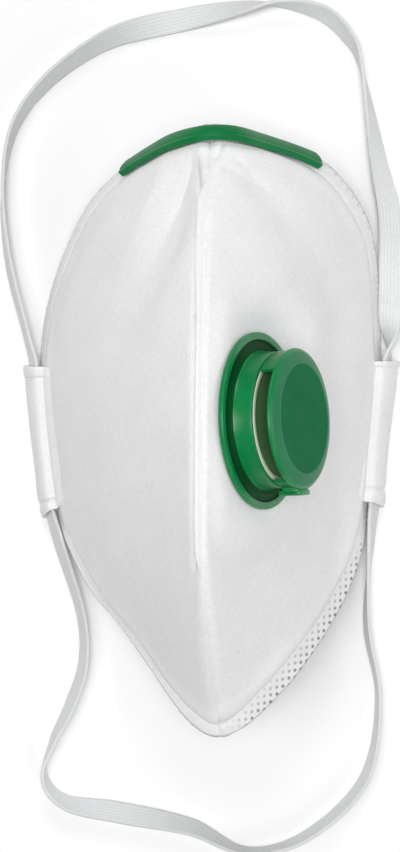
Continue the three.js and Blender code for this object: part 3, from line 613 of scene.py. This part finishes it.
def strap_material():
    n = Nodes("strap_elastic")
    place = n.cloth_place()
    bands = n.scaled(place, (320, 40, 1))
    rib = n.add(
        "TexWave",
        {"wave_type": "BANDS", "bands_direction": "X", "wave_profile": "SIN"},
        {"Vector": bands, "Scale": 1.0, "Distortion": 0.4, "Detail": 1.0, "Detail Scale": 2.0},
    ).outputs["Fac"]
    stitch = n.noise(n.scaled(place, (1600, 900, 1)), 1.0, 2.0, 0.6)
    height = n.math("ADD", n.math("MULTIPLY", rib, 0.22), n.math("MULTIPLY", stitch, 0.6))
    color = n.ramp(height, [(0.15, (0.60, 0.61, 0.62)), (0.65, (0.76, 0.77, 0.775))])
    color = n.mix_color(n.attribute("selvedge"), color, (0.66, 0.67, 0.67))
    sheen = {"Sheen Weight": 0.1, "Sheen Roughness": 0.45, "Specular IOR Level": 0.35}
    return n.finish({"Base Color": color, "Normal": n.bump(height, 0.00007, 0.8), "Roughness": 0.7, **sheen})


def plastic_material(name, low, high, roughness, shine):
    n = Nodes(name)
    spot = n.spot()
    cloud = n.noise(spot, 160.0, 3.0, 0.55)
    fine = n.noise(spot, 2600.0, 2.0, 0.5)
    color = n.ramp(cloud, [(0.3, low), (0.7, high)])
    rough = n.ramp(fine, [(0.3, (roughness - 0.03,) * 3), (0.7, (roughness + 0.04,) * 3)])
    bump = n.bump(fine, 0.000004, 0.15)
    return n.finish({"Base Color": color, "Normal": bump, "Roughness": rough, "Specular IOR Level": shine})


def rubber_material():
    n = Nodes("valve_rubber")
    spot = n.spot()
    cloud = n.noise(spot, 220.0, 2.0, 0.5)
    # The rubber's own cream, tinted green as painted light thrown back from the green cap.
    color = n.ramp(cloud, [(0.3, (0.60, 0.68, 0.51)), (0.7, (0.68, 0.74, 0.58))])
    # The middle under the cap is painted shade: dark olive, with the green that the cap throws back onto it.
    color = n.mix_color(n.attribute("painted_shade"), color, (0.065, 0.20, 0.060))
    return n.finish({"Base Color": color, "Normal": n.bump(cloud, 0.00005, 0.4), "Roughness": 0.5})


cloth = cloth_material("panel_cloth", True)
plain_cloth = cloth_material("sleeve_cloth", False)
elastic = strap_material()
# The valve's and the clip's greens: low and high are the darker and the lighter colour.
PLASTIC_COLUMNS = ["name", "low", "high", "roughness", "shine"]
PLASTICS = [
    ["green_plastic", (0.004, 0.185, 0.050), (0.007, 0.215, 0.062), 0.28, 0.30],
    # The next row's greens are painted shade, for the valve base's groove and inside, where the barrel and
    # cap shade it.
    ["green_shade", (0.0, 0.048, 0.010), (0.0, 0.066, 0.015), 0.45, 0.06],
    ["green_satin", (0.008, 0.135, 0.050), (0.010, 0.155, 0.058), 0.6, 0.04],
    ["green_rim", (0.014, 0.165, 0.066), (0.018, 0.190, 0.078), 0.45, 0.2],
    ["green_clip", (0.004, 0.155, 0.042), (0.006, 0.185, 0.054), 0.35, 0.12],
]
plastics = {row[0]: plastic_material(**dict(zip(PLASTIC_COLUMNS, row))) for row in PLASTICS}
cream = rubber_material()

ROOT = "root"


def place_piece(piece, node):
    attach(piece, ROOT)
    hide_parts(node)


# ---------- camera ----------
CAMERA_LENS = 67.0
CAMERA_SENSOR = 36.0
CAMERA_TILT = 1.5  # degrees from straight down
CAMERA_AIM = (-0.0033, 0.0020, 0.0)
CAMERA_DISTANCE = 0.480


def make_camera():
    data = bpy.data.cameras.new("camera")
    data.lens = CAMERA_LENS
    data.sensor_width = CAMERA_SENSOR
    data.clip_start = 0.01
    data.clip_end = 10.0
    camera = bpy.data.objects.new("camera", data)
    tilt = math.radians(CAMERA_TILT)
    back = Vector((math.sin(tilt), 0, math.cos(tilt)))
    camera.rotation_euler = (0, tilt, 0)
    camera.location = Vector(CAMERA_AIM) + back * CAMERA_DISTANCE
    bpy.context.scene.collection.objects.link(camera)
    bpy.context.scene.camera = camera


make_camera()


# ---------- head strap ----------
STRAP_STEPS = 18  # sections from one row of the route to the next
STRAP_CORNER = 0.42
SELVEDGE = 0.75  # width of the plain band along each edge


def head_strap():
    rows = np.array(STRAP_ROUTE, float)
    count, steps = len(rows), STRAP_STEPS
    wrapped = np.vstack([rows, rows[:1]])
    t = np.arange(count * steps) / steps

    def route_at(t):
        return along_rows(wrapped, rows[-1], rows[1], t % count)

    route = named(STRAP_COLUMNS, route_at(t))
    ahead = np.zeros((len(t), 3))
    ahead[:, :2] = (route_at(t + 0.05) - route_at(t - 0.05))[:, :2]
    ahead = unit(ahead)
    inward = np.stack([ahead[:, 1], -ahead[:, 0], 0 * t], axis=1)
    lean = np.radians(route["lean"])[:, None]
    wide = np.cos(lean) * np.array([0, 0, 1.0]) + np.sin(lean) * inward
    thin = np.cross(ahead, wide)
    reach = STRAP_WIDTH / 2 * np.abs(wide[:, 2]) + STRAP_THICK / 2 * np.abs(thin[:, 2])
    height = np.maximum(STRAP_LOWEST, route["lift"]) + reach
    center = np.column_stack([route["x"], route["y"], height])
    half_w, half_t = STRAP_WIDTH / 2, STRAP_THICK / 2
    inset = half_w - SELVEDGE
    one_side = [[-half_w, -half_t, STRAP_CORNER], [-inset, -half_t, 0]]
    one_side += [[inset, -half_t, 0], [half_w, -half_t, STRAP_CORNER]]
    other_side = [[-across, -thick, radius] for across, thick, radius in one_side]
    section = round_corners(one_side + other_side, 3)
    points = center[:, None] + section[:, 0, None] * wide[:, None] + section[:, 1, None] * thin[:, None]
    along = run_length(center)[:, None]
    uv = np.stack(np.broadcast_arrays(section[:, 0] * MM, along * MM), axis=-1)
    faces = ring_faces(len(t), len(section), True)
    piece = new_piece("strap_band", points, faces, [elastic], uv)
    edges = smoothstep(inset, inset + 0.4, np.abs(section[:, 0]))
    float_attribute(piece, "selvedge", np.tile(edges, len(t)))
    place_piece(piece, "head_strap")


head_strap()


# ---------- panels ----------
PANEL_ROWS = 300
SEAM_LINES = [0, 0.35, 0.7, 1.1, 1.6, 2.2, 3.0, 4.0, 5.2, 6.6]  # distance from the seam
RIM_LINES = [13, 11.8, 10.7, 9.7, 8.9, 8.2, 7.6, 7.0, 6.5, 6.0, 5.5, 5.0, 4.3, 3.6, 2.9, 2.2]
RIM_LINES += [1.5, 0.9, 0.4, 0]
MIDDLE_LINES = 40
# The weld dots, whose dark grey is painted shade: how strongly they show noseward and chinward of the
# sleeves, how far in they reach noseward, and how far from the border's inner edge they stop chinward.
DOTS_SHOWN = {"left": (0.08, 0.08), "right": (0.35, 1.0)}
DOTS_REACH = 2.4
DOTS_INSET = 0.5
DOTS_CHINWARD = (12.5, 13.5)
DOTS_END = (16.8, 17.8)
EDGE_SHADE = 0.75  # how strongly the painted shade along the rim shows grey


def panel_lines(side, t):
    """Where the grid lines of each rib fall, 0 at the seam and 1 at the rim."""
    length = np.linalg.norm(rim_point(side, t) - seam_point(t), axis=1)[:, None]
    scale = np.minimum(1, length / 32)
    seam_part = np.array(SEAM_LINES)[None] * scale / length
    rim_part = 1 - np.array(RIM_LINES)[None] * scale / length
    f = np.linspace(0, 1, MIDDLE_LINES + 2)[1:-1][None]
    middle = seam_part[:, -1:] * (1 - f) + rim_part[:, :1] * f
    return np.hstack([seam_part, middle, rim_part])


def panel_piece(side):
    t = np.linspace(0.1, LAST - 0.1, PANEL_ROWS)
    u = panel_lines(side, t)
    t = np.broadcast_to(t[:, None], u.shape)
    point, normal, from_seam, from_rim = panel_grid(side, t, u)
    width = border_value(side + "_width", t)
    length = np.linalg.norm(rim_point(side, t) - seam_point(t), axis=-1)
    padded = smoothstep(0, BORDER_STEP, from_rim - width) * smoothstep(6, 26, length)
    edge = 0.25 + 0.75 * smoothstep(0, 1.2, from_rim)
    outer = point + normal * ((BORDER_HALF + (WALL_OUT - BORDER_HALF) * padded) * edge)[..., None]
    inner = point - normal * ((BORDER_HALF + (WALL_IN - BORDER_HALF) * padded) * edge)[..., None]
    rings = np.concatenate([outer, inner[:, ::-1]], axis=1)
    rows, count = rings.shape[:2]
    across = np.concatenate([from_seam, from_seam[:, ::-1]], axis=1) * SIGN[side]
    uv = np.stack([across, rings[..., 1]], axis=-1) * MM
    faces = ring_faces(rows, count, False)
    piece = new_piece(f"{side}_cloth", rings, faces, [cloth], uv, sharp=60)
    chinward = smoothstep(*DOTS_CHINWARD, t)
    reach = DOTS_REACH + (width - DOTS_INSET - DOTS_REACH) * chinward
    faint, strong = DOTS_SHOWN[side]
    shown = (faint + (strong - faint) * chinward) * (1 - smoothstep(*DOTS_END, t))
    border = shown * smoothstep(-0.4, 0.6, reach - from_rim) * (0.25 + 0.75 * smoothstep(width, 0, from_rim))
    outer_side = np.concatenate([border, 0 * border], axis=1)
    float_attribute(piece, "border", outer_side.ravel())
    # A grey line of painted shade along the rim.
    cut = EDGE_SHADE * smoothstep(1.0, 0.1, from_rim)
    float_attribute(piece, "edge_shade", np.concatenate([cut, cut[:, ::-1]], axis=1).ravel())
    if side == "right":
        cut_hole(piece)
    place_piece(piece, f"{side}_panel")
    return piece


# ---------- valve ----------
def valve_matrix():
    axis = unit(VALVE_AXIS)
    noseward = unit(np.array([0, 1.0, 0]) - axis * axis[1])
    side = np.cross(noseward, axis)
    return np.column_stack([side, noseward, axis])


VALVE_TURN = valve_matrix()


def on_valve(points):
    """From the valve's own frame (x away from the seam, y toward the nose, z out) to the model's."""
    return np.asarray(points) @ VALVE_TURN.T + VALVE_CENTER


def from_axis(piece):
    """The distance of each of the piece's points from the valve's axis."""
    points = np.empty(len(piece.data.vertices) * 3, np.float32)
    piece.data.vertices.foreach_get("co", points)
    own = (points.reshape(-1, 3) / MM - VALVE_CENTER) @ VALVE_TURN
    return np.hypot(own[:, 0], own[:, 1])


def cut_hole(piece):
    count, reach = 96, 9.0
    angle = np.linspace(0, 2 * math.pi, count, endpoint=False)
    x, y = VALVE_HOLE_RADIUS * np.cos(angle), VALVE_HOLE_RADIUS * np.sin(angle)
    rings = [np.column_stack([x, y, 0 * angle + height]) for height in (-reach, reach)]
    drill = new_piece("drill", on_valve(np.vstack(rings)), ring_faces(2, count, False), [])
    cut = piece.modifiers.new("hole", "BOOLEAN")
    cut.operation = "DIFFERENCE"
    cut.solver = "EXACT"
    cut.object = drill
    apply_modifiers(piece)
    bpy.data.objects.remove(drill)


left_cloth = panel_piece("left")
right_cloth = panel_piece("right")


def turned(section, segments=128):
    """A section of points [radius, height] turned about the valve's axis."""
    angle = np.linspace(0, 2 * math.pi, segments, endpoint=False)
    r, h = section[:, 0][None], section[:, 1][None]
    x = r * np.cos(angle)[:, None]
    y = r * np.sin(angle)[:, None]
    points = np.stack(np.broadcast_arrays(x, y, h), axis=-1)
    return points.reshape(-1, 3), ring_faces(segments, len(section), True)


SQUARE = [(-1, -1), (1, -1), (1, 1), (-1, 1)]


def block(size, center):
    corners = np.array([(a, b, c) for c in (-1, 1) for a, b in SQUARE])
    return corners * np.array(size) / 2 + center, ring_faces(2, 4, False)


SEAT = 5.6  # height of the seat that the membrane lies over
BASE_SECTION = [
    [13.6, -4.0, 0.3],
    [16.9, -4.0, 0.3],
    [16.9, 0.3, 0],
    [22.9, 0.3, 0.25],
    [22.9, 1.6, 0.4],
    [21.1, 1.6, 0.35],
    [20.6, 0.7, 0.4],
    [19.2, 0.65, 1.0],
    [18.0, 1.9, 1.4],
    [17.6, 4.4, 1.2],
    [17.5, 6.8, 0.3],
    [16.8, 6.8, 0.2],
    [16.8, SEAT, 0.1],
    [13.6, SEAT, 0.2],
]


def valve_base():
    ring = turned(round_corners(BASE_SECTION))
    boss = turned(round_corners([[0.01, 2.8, 0], [2.4, 2.8, 0.2], [2.4, SEAT, 0.2], [0.01, SEAT, 0]], 3), 48)
    middle = [0, 0, SEAT - 1.2]
    spokes = [block([28.4, 1.6, 2.0], middle), block([1.6, 28.4, 2.0], middle)]
    points, faces = joined([ring, boss, *spokes])
    looks = []
    # Faces in the groove and inside the base get the darker green: painted shade, for the shade that the
    # barrel and cap cast there.
    for face in faces:
        x, y, height = points[list(face)].mean(axis=0)
        radius = math.hypot(x, y)
        in_groove = 18.1 < radius < 21.0 and height > 0.2
        looks.append(1 if in_groove or radius < 17.0 else 0)
    greens = [plastics["green_plastic"], plastics["green_shade"]]
    piece = new_piece("valve_seat", on_valve(points), faces, greens, face_material=looks, sharp=35)
    place_piece(piece, "valve_base")


def valve_membrane():
    low = SEAT + GAP
    rows = [[0.01, low, 0], [16.4, low, 0.15], [16.4, low + 0.95, 0.35], [15.2, low + 0.9, 0.35]]
    rows += [[14.95, low + 0.35, 0.1], [14.7, low + 0.35, 0], [0.01, low + 0.35, 0]]
    points, faces = turned(round_corners(rows))
    piece = new_piece("valve_flap", on_valve(points), faces, [cream], sharp=35)
    # Marks the middle, inside about 15 mm, for the painted shade under the cap.
    float_attribute(piece, "painted_shade", smoothstep(15.0, 14.7, from_axis(piece)))
    place_piece(piece, "valve_membrane")


CAP_RADIUS = 18.1
CAP_SECTION = [  # the skirt is rows 1 to 4; a window leaves it out
    [0.01, 11.6, 0],
    [16.4, 11.1, 0],
    [16.4, 7.1, 0],
    [17.6, 7.1, 0],
    [17.7, 11.1, 0],
    [18.1, 11.3, 0.2],
    [18.05, 11.95, 0.7],
    [17.2, 12.4, 0.9],
    [14.3, 13.25, 0.6],
    [13.9, 13.1, 0.3],
    [13.2, 13.1, 0],
    [6.0, 13.1, 0],
    [0.01, 13.1, 0],
]
WINDOW_FROM = 44  # degrees from the noseward side, both ways round
WINDOW_TO = 154
FACE_RADIUS = 14.0
RIM_RADIUS = 17.4


def valve_cap():
    section = round_corners(CAP_SECTION)
    segments = 144
    points, _ = turned(section, segments)
    count = len(section)
    from_nose = np.abs(((np.arange(segments) + 0.5) * 360 / segments + 90) % 360 - 180)
    is_open = (WINDOW_FROM < from_nose) & (from_nose < WINDOW_TO)
    faces, looks = [], []
    for i in range(segments):
        i1 = (i + 1) % segments
        for k in range(count):
            if is_open[i] and 1 <= k <= 3:
                continue
            k1 = (k + 1) % count
            faces.append((i * count + k, i1 * count + k, i1 * count + k1, i * count + k1))
            far = max(section[k][0], section[k1][0])
            top = min(section[k][1], section[k1][1]) > 12.0
            looks.append(0 if not top or far > RIM_RADIUS else 1 if far < FACE_RADIUS else 2)
        if is_open[i]:
            faces.append((i * count + 1, i1 * count + 1, i1 * count + 4, i * count + 4))
            looks.append(0)
        if is_open[i1] != is_open[i]:
            faces.append(tuple(i1 * count + k for k in range(1, 5)))
            looks.append(0)
    greens = [plastics[name] for name in ("green_plastic", "green_satin", "green_rim")]
    piece = new_piece("valve_cover", on_valve(points), faces, greens, face_material=looks)
    bevelled(piece, 0.22)
    latch = new_piece("valve_latch", *latch_shape(), [plastics["green_plastic"]])
    bevelled(latch, 0.3)
    place_piece(piece, "valve_cap")
    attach(latch, ROOT)


def latch_shape():
    tongue = block([6.4, 1.3, 6.0], [0, -(CAP_RADIUS + 0.7), 9.3])
    bridge = block([6.4, 2.6, 4.6], [0, -(CAP_RADIUS - 0.2), 9.6])
    points, faces = joined([tongue, bridge])
    return on_valve(points), faces


def valve_retainer():
    rows = [[17.2, -2.3, 0.2], [20.2, -2.3, 0.3], [20.2, -3.2, 0.3], [19.5, -3.7, 0.4], [17.2, -3.7, 0.3]]
    points, faces = turned(round_corners(rows))
    piece = new_piece("valve_ring", on_valve(points), faces, [plastics["green_plastic"]], sharp=35)
    place_piece(piece, "valve_retainer")


valve_base()
valve_membrane()
valve_cap()
valve_retainer()


# ---------- centre seam ----------
# Section of the seam's fold, [to the right, up] from the seam line, where it stands tall with its
# top leaning over the left panel, and where it lies hidden in the ridge.
FIN_COLUMNS = ["tall_right", "tall_up", "hidden_right", "hidden_up"]
FIN_SECTION = [
    [0.6, -1.3, 0.5, -1.1],
    [0.3, -0.4, 0.5, -0.7],
    [-0.1, 0.15, 0.45, -0.45],
    [-0.5, 0.42, 0.35, -0.3],
    [-0.95, 0.72, 0.2, -0.2],
    [-1.3, 0.98, 0.0, -0.15],
    [-1.7, 1.08, -0.2, -0.2],
    [-2.05, 0.9, -0.35, -0.3],
    [-2.0, 0.62, -0.45, -0.45],
    [-1.5, 0.4, -0.5, -0.6],
    [-0.9, 0.1, -0.5, -0.8],
    [-0.6, -1.1, -0.5, -1.1],
    [0.0, -1.7, 0.0, -1.4],
]
FIN_BROADER = 0.35  # by which share it is broader near the nose
FIN_BROADER_AT = [(2.6, 3.4), (4.5, 7.0)]


def seam_fin():
    t = np.linspace(0.3, LAST - 0.3, 420)
    middle = seam_point(t)
    way = seam_point(t + 0.05) - seam_point(t - 0.05)
    up = unit(np.stack([0 * t, way[:, 2], -way[:, 1]], axis=1))
    up *= np.sign(up[:, 2:])
    side = np.array([1.0, 0, 0])
    tall = between(FIN_START, FIN_END, t)[:, None]
    rounded_off = np.minimum(rib_slope("left", t), rib_slope("right", t)) * ridge_round(t) / 2
    middle[:, 2] -= rounded_off * (1 - tall[:, 0])
    broad = 1 + FIN_BROADER * between(*FIN_BROADER_AT, t)[:, None]
    wobble = 0.06 * ripple(middle[:, 1], 0 * t, 14, 3)[:, None]
    fin = named(FIN_COLUMNS, FIN_SECTION)
    across = fin["tall_right"] * tall * broad + fin["hidden_right"] * (1 - tall)
    height = fin["tall_up"] * tall + fin["hidden_up"] * (1 - tall) + wobble * (fin["tall_up"] > 0)
    points = middle[:, None] + across[..., None] * side + height[..., None] * up[:, None]
    count = points.shape[1]
    along = run_length(middle)[:, None]
    uv = np.stack(np.broadcast_arrays(np.arange(count)[None] * 0.5, along), axis=-1) * MM
    faces = ring_faces(len(t), count, False)
    piece = new_piece("seam_fold", points, faces, [plain_cloth], uv, sharp=80)
    place_piece(piece, "center_seam")
    return piece


seam = seam_fin()

# ---------- nose clip ----------
CLIP_WIDTH = 5.8
CLIP_END_SHARE = 0.6  # of its width that is left at its ends
CLIP_END_LENGTH = 1.5
CLIP_CROWN_NARROWER = 0.14
CLIP_CROWN_REACH = 16
CLIP_EVENED = 14  # sections each way over which its bends are evened
CLIP_FROM_RIM = 3.4
# Where along each rim the clip follows the cloth, from its end to the nose.
CLIP_LEFT = [3.72, 3.4, 3.0, 2.5, 2.1]
CLIP_RIGHT = [3.95, 3.6, 3.1, 2.6, 2.1]
# The bend over the nose: a point of the clip's underside and the way out from it.
CLIP_CROWN = [
    [[-4.2, 78.8, 59.9], [-0.45, 0.5, 0.74]],
    [[2.2, 79.4, 62.0], [0.02, 0.55, 0.83]],
    [[8.6, 79.2, 59.6], [0.45, 0.5, 0.74]],
]
# Across the clip, as a share of half its width, and its height there, from the underside up.
CLIP_SECTION = [
    [-1.0, 0.0, 0.1],
    [1.0, 0.0, 0.1],
    [1.0, 0.6, 0.3],
    [0.8, 1.05, 0.4],
    [0.3, 1.4, 0.6],
    [-0.25, 1.5, 0.4],
    [-0.55, 1.35, 0.2],
    [-0.68, 1.6, 0.2],
    [-0.86, 1.5, 0.2],
    [-1.0, 0.8, 0.35],
]


def surface_at(side, t, u):
    """A point of the panel's middle surface without its finer folds, and its outward normal."""
    step = 0.01
    grid_t = np.array([[t - step] * 3, [t] * 3, [t + step] * 3])
    grid_u = np.array([[u - step, u, u + step]] * 3)
    point, normal, _, _ = panel_grid(side, grid_t, grid_u, fine=False)
    return point[1, 1], normal[1, 1]


def clip_place(side, t):
    seam_at, rim_at = seam_point(t), rim_point(side, t)
    rib = rim_at - seam_at
    edge = unit(rim_point(side, t + 0.05) - rim_point(side, t - 0.05))
    slant = np.linalg.norm(np.cross(unit(rib), edge))
    u = 1 - CLIP_FROM_RIM / slant / np.linalg.norm(rib)
    point, normal = surface_at(side, t, u)
    return np.concatenate([point + normal * (WALL_OUT + GAP), normal])


def evened(rows, reach):
    """Rows averaged with their neighbours up to reach on each side; the end rows keep their place."""
    share = np.minimum(np.arange(len(rows)), np.arange(len(rows))[::-1])
    share = np.minimum(share, reach)
    total = np.vstack([0 * rows[:1], np.cumsum(rows, axis=0)])
    at = np.arange(len(rows))
    return (total[at + share + 1] - total[at - share]) / (2 * share + 1)[:, None]


def nose_clip():
    left = [clip_place("left", t) for t in CLIP_LEFT]
    right = [clip_place("right", t) for t in reversed(CLIP_RIGHT)]
    crown = [np.concatenate(row) for row in CLIP_CROWN]
    places = np.array([*left, *crown, *right])
    line = run_length(places[:, :3])
    even = np.linspace(0, len(places) - 1, 260)
    places = evened(open_curve(places, even), CLIP_EVENED)
    point, normal = places[:, :3], places[:, 3:]
    ahead = unit(np.gradient(point, axis=0))
    normal = unit(normal - ahead * np.sum(normal * ahead, axis=1)[:, None])
    across = unit(np.cross(normal, ahead))
    along = np.interp(even, np.arange(len(line)), line)
    to_end = np.minimum(along, line[-1] - along)
    half = CLIP_WIDTH / 2 * (CLIP_END_SHARE + (1 - CLIP_END_SHARE) * np.clip(to_end / CLIP_END_LENGTH, 0, 1))
    half *= 1 - CLIP_CROWN_NARROWER * smoothstep(line[-1] / 2 - CLIP_CROWN_REACH, line[-1] / 2, to_end)
    low = 0.75 + 0.25 * np.clip(to_end / 0.5, 0, 1)
    section = round_corners(CLIP_SECTION)
    points = (
        point[:, None]
        + across[:, None] * (section[:, 0][None] * half[:, None])[..., None]
        + normal[:, None] * (section[:, 1][None] * low[:, None])[..., None]
    )
    faces = ring_faces(len(points), len(section), False)
    piece = new_piece("nose_band", points, faces, [plastics["green_clip"]], sharp=50)
    place_piece(piece, "nose_clip")


nose_clip()

# ---------- strap sleeves ----------
SLEEVE_CLEAR = 13.0  # how far up the panel the sleeve's slope is taken from
SLEEVE_DROP = 2.6  # how far in from the rim the tube's middle is
SLEEVE_GAP = 0.6
SLEEVE_HALF_THICK = 1.7
# Stations from the sleeve's nose end to its chin end: place on the rim, the tube's swelling, how far
# the flap reaches up the panel, and how far the tube turns up from the panel's slope, in degrees.
SLEEVE_COLUMNS = ["t", "swell", "reach", "turn"]
SLEEVE_LEFT = [
    [8.9, 1.10, 8.0, 3],
    [8.96, 1.16, 8.9, 3],
    [9.08, 1.13, 9.5, 3],
    [9.145, 1.08, 9.8, 3],
    [9.175, 0.95, 9.9, 3],
    [9.21, 1.03, 10.0, 3],
    [9.7, 1.03, 10.2, 3],
    [10.4, 1.0, 10.4, 3],
    [11.1, 1.0, 10.6, 3],
    [11.6, 1.04, 10.9, 3],
    [11.80, 1.05, 11.0, 3],
    [11.87, 0.98, 11.1, 3],
    [11.90, 0.88, 11.1, 3],
    [11.95, 1.0, 11.2, 3],
    [12.08, 1.08, 10.9, 3],
    [12.2, 1.02, 9.4, 3],
]
SLEEVE_RIGHT = [
    [8.92, 1.12, 7.6, 10],
    [8.97, 1.17, 8.2, 10],
    [9.03, 1.10, 8.4, 10],
    [9.06, 0.95, 8.5, 10],
    [9.10, 1.04, 8.6, 10],
    [9.7, 1.04, 8.9, 9],
    [10.4, 1.0, 9.2, 8],
    [11.1, 1.0, 9.6, 6],
    [11.45, 1.04, 10.0, 5],
    [11.56, 1.03, 10.2, 5],
    [11.61, 0.96, 10.3, 5],
    [11.64, 0.87, 10.4, 5],
    [11.70, 1.02, 10.6, 5],
    [11.88, 1.10, 10.4, 5],
    [12.03, 1.04, 9.2, 5],
]
SLEEVES = {"left": SLEEVE_LEFT, "right": SLEEVE_RIGHT}
CHANNEL = [[4.15, -1.05, 0.5], [4.15, 1.05, 0.5], [-4.15, 1.05, 0.5], [-4.15, -1.05, 0.5]]


def sleeve_frame(side, t):
    seam_at, rim_at = seam_point(t), rim_point(side, t)
    rib_length = np.linalg.norm(seam_at - rim_at)
    edge, edge_normal = surface_at(side, t, 0.999)
    above, above_normal = surface_at(side, t, 1 - SLEEVE_CLEAR / rib_length)
    edge = edge + edge_normal * BORDER_HALF
    above = above + above_normal * WALL_OUT
    ahead = unit(rim_point(side, t + 0.1) - rim_point(side, t - 0.1))
    down = edge - above
    down = unit(down - ahead * (down @ ahead))
    outward = np.cross(ahead, down)
    outward *= np.sign(outward[2])
    center = edge - down * SLEEVE_DROP + outward * (SLEEVE_GAP + SLEEVE_HALF_THICK)
    return center, down, outward


def sleeve_section(swell, reach):
    """[down the slope, outward] round the tube and its flap."""
    wide, thick = 4.85 * swell, 1.9 * swell * swell
    flap = reach - wide
    angle = np.linspace(0.02, 0.96, 16) * math.pi
    a = wide * np.sign(np.cos(angle)) * np.abs(np.cos(angle)) ** 0.72
    puffed = np.column_stack([a, thick * np.sin(angle) ** 0.72, 0 * angle])
    rows = [
        [-reach, -2.25, 0.1],
        [-wide - 0.5, -2.1, 0.3],
        [-wide + 1.5, -1.75, 0.5],
        [wide * 0.9, -1.75, 0.8],
        [wide, -0.7, 0.8],
        *puffed,
        [-wide - 0.05 * flap, -1.05, 0.3],
        [-wide - 0.18 * flap, -1.1, 0.4],
        [-wide - 0.36 * flap, -0.6, 0.9],
        [-wide - 0.62 * flap, -1.15, 1.0],
        [-reach + 0.1 * flap, -1.65, 0.6],
        [-reach, -2.05, 0.15],
    ]
    return round_corners(rows, 6)


def sleeve_piece(side):
    rows = np.array(SLEEVES[side], float)
    even = np.linspace(0, len(rows) - 1, 120)
    outer, inner, centers = [], [], []
    hollow = round_corners(CHANNEL, 3)
    for row in open_curve(rows, even):
        station = dict(zip(SLEEVE_COLUMNS, row))
        center, down, outward = sleeve_frame(side, station["t"])
        cos, sin = math.cos(math.radians(station["turn"])), math.sin(math.radians(station["turn"]))
        down, outward = down * cos + outward * sin, outward * cos - down * sin
        tube = sleeve_section(station["swell"], station["reach"])
        for section, rings in ((tube, outer), (hollow * min(1, station["swell"]), inner)):
            ring = center + section[:, :1] * down + section[:, 1:] * outward
            ring[:, 2] = np.maximum(0.0, ring[:, 2])
            rings.append(ring)
        centers.append(center)
    along = run_length(centers)
    outer, inner = np.array(outer), np.array(inner)
    count, holes = outer.shape[1], inner.shape[1]
    rings = len(outer)
    faces = ring_faces(rings, count, False, caps=False)
    start = rings * count
    faces += [tuple(start + k for k in face) for face in ring_faces(rings, holes, False, caps=False)]
    points = np.vstack([outer.reshape(-1, 3), inner.reshape(-1, 3)])
    around = np.concatenate([np.tile(np.arange(count), rings), np.tile(np.arange(holes), rings)]) * 0.7
    lengthwise = np.concatenate([np.repeat(along, count), np.repeat(along, holes)])
    uv = np.column_stack([around, lengthwise]) * MM
    piece = new_piece(f"{side}_sleeve", points, faces, [plain_cloth], uv, sharp=75)
    close_ends(piece)
    place_piece(piece, f"{side}_strap_sleeve")
    return piece


def close_ends(piece):
    """Fills the flat end between the outer and inner edges of a tube, at both ends."""
    build = bmesh.new()
    build.from_mesh(piece.data)
    open_edges = [edge for edge in build.edges if edge.is_boundary]
    middle = np.median([list((e.verts[0].co + e.verts[1].co) / 2) for e in open_edges], axis=0)[1]
    for noseward in (True, False):
        loop = [e for e in open_edges if ((e.verts[0].co.y > middle) == noseward)]
        bmesh.ops.triangle_fill(build, edges=loop, use_beauty=True)
    bmesh.ops.recalc_face_normals(build, faces=build.faces)
    build.to_mesh(piece.data)
    build.free()


left_sleeve = sleeve_piece("left")
right_sleeve = sleeve_piece("right")


# ---------- floor and light ----------
FLOOR_HALF = 3.0


def make_floor():
    n = Nodes("pale_floor")
    spot = n.spot()
    cloud = n.noise(spot, 3.0, 2.0, 0.5)
    color = n.ramp(cloud, [(0.3, (0.90, 0.90, 0.90)), (0.7, (0.92, 0.92, 0.92))])
    material = n.finish({"Base Color": color, "Roughness": 0.9})
    mesh = bpy.data.meshes.new("floor")
    mesh.from_pydata([(a * FLOOR_HALF, b * FLOOR_HALF, 0) for a, b in SQUARE], [], [(0, 1, 2, 3)])
    mesh.materials.append(material)
    floor = bpy.data.objects.new("floor", mesh)
    bpy.context.scene.collection.objects.link(floor)


LIGHT_SIZE = 0.5
LIGHT_COLUMNS = ["name", "location", "power"]
LIGHTS = [
    ["overhead", (0.0, 0.0, 1.1), 7.2],
    ["overhead_left", (-0.45, 0.0, 1.0), 2.7],
    ["nose_side", (0.0, 0.85, 0.7), 2.9],
    ["chin_right", (0.6, -0.6, 0.7), 2.2],
    ["low_left", (-1.0, 0.0, 0.35), 0.9],
    ["low_right", (1.0, 0.0, 0.35), 1.6],
]


def make_area_light(name, location, power):
    data = bpy.data.lights.new(name, "AREA")
    data.shape = "DISK"
    data.size = LIGHT_SIZE
    data.energy = power
    light = bpy.data.objects.new(name, data)
    light.location = location
    light.rotation_mode = "QUATERNION"
    light.rotation_quaternion = Vector(location).to_track_quat("Z", "Y")
    bpy.context.scene.collection.objects.link(light)


def make_world():
    world = bpy.data.worlds.new("studio")
    world.use_nodes = True
    background = world.node_tree.nodes["Background"]
    background.inputs["Color"].default_value = (1.0, 1.0, 1.0, 1)
    background.inputs["Strength"].default_value = 0.03
    bpy.context.scene.world = world


make_floor()
for row in LIGHTS:
    make_area_light(**dict(zip(LIGHT_COLUMNS, row)))
make_world()
bpy.context.scene.view_settings.view_transform = "Standard"
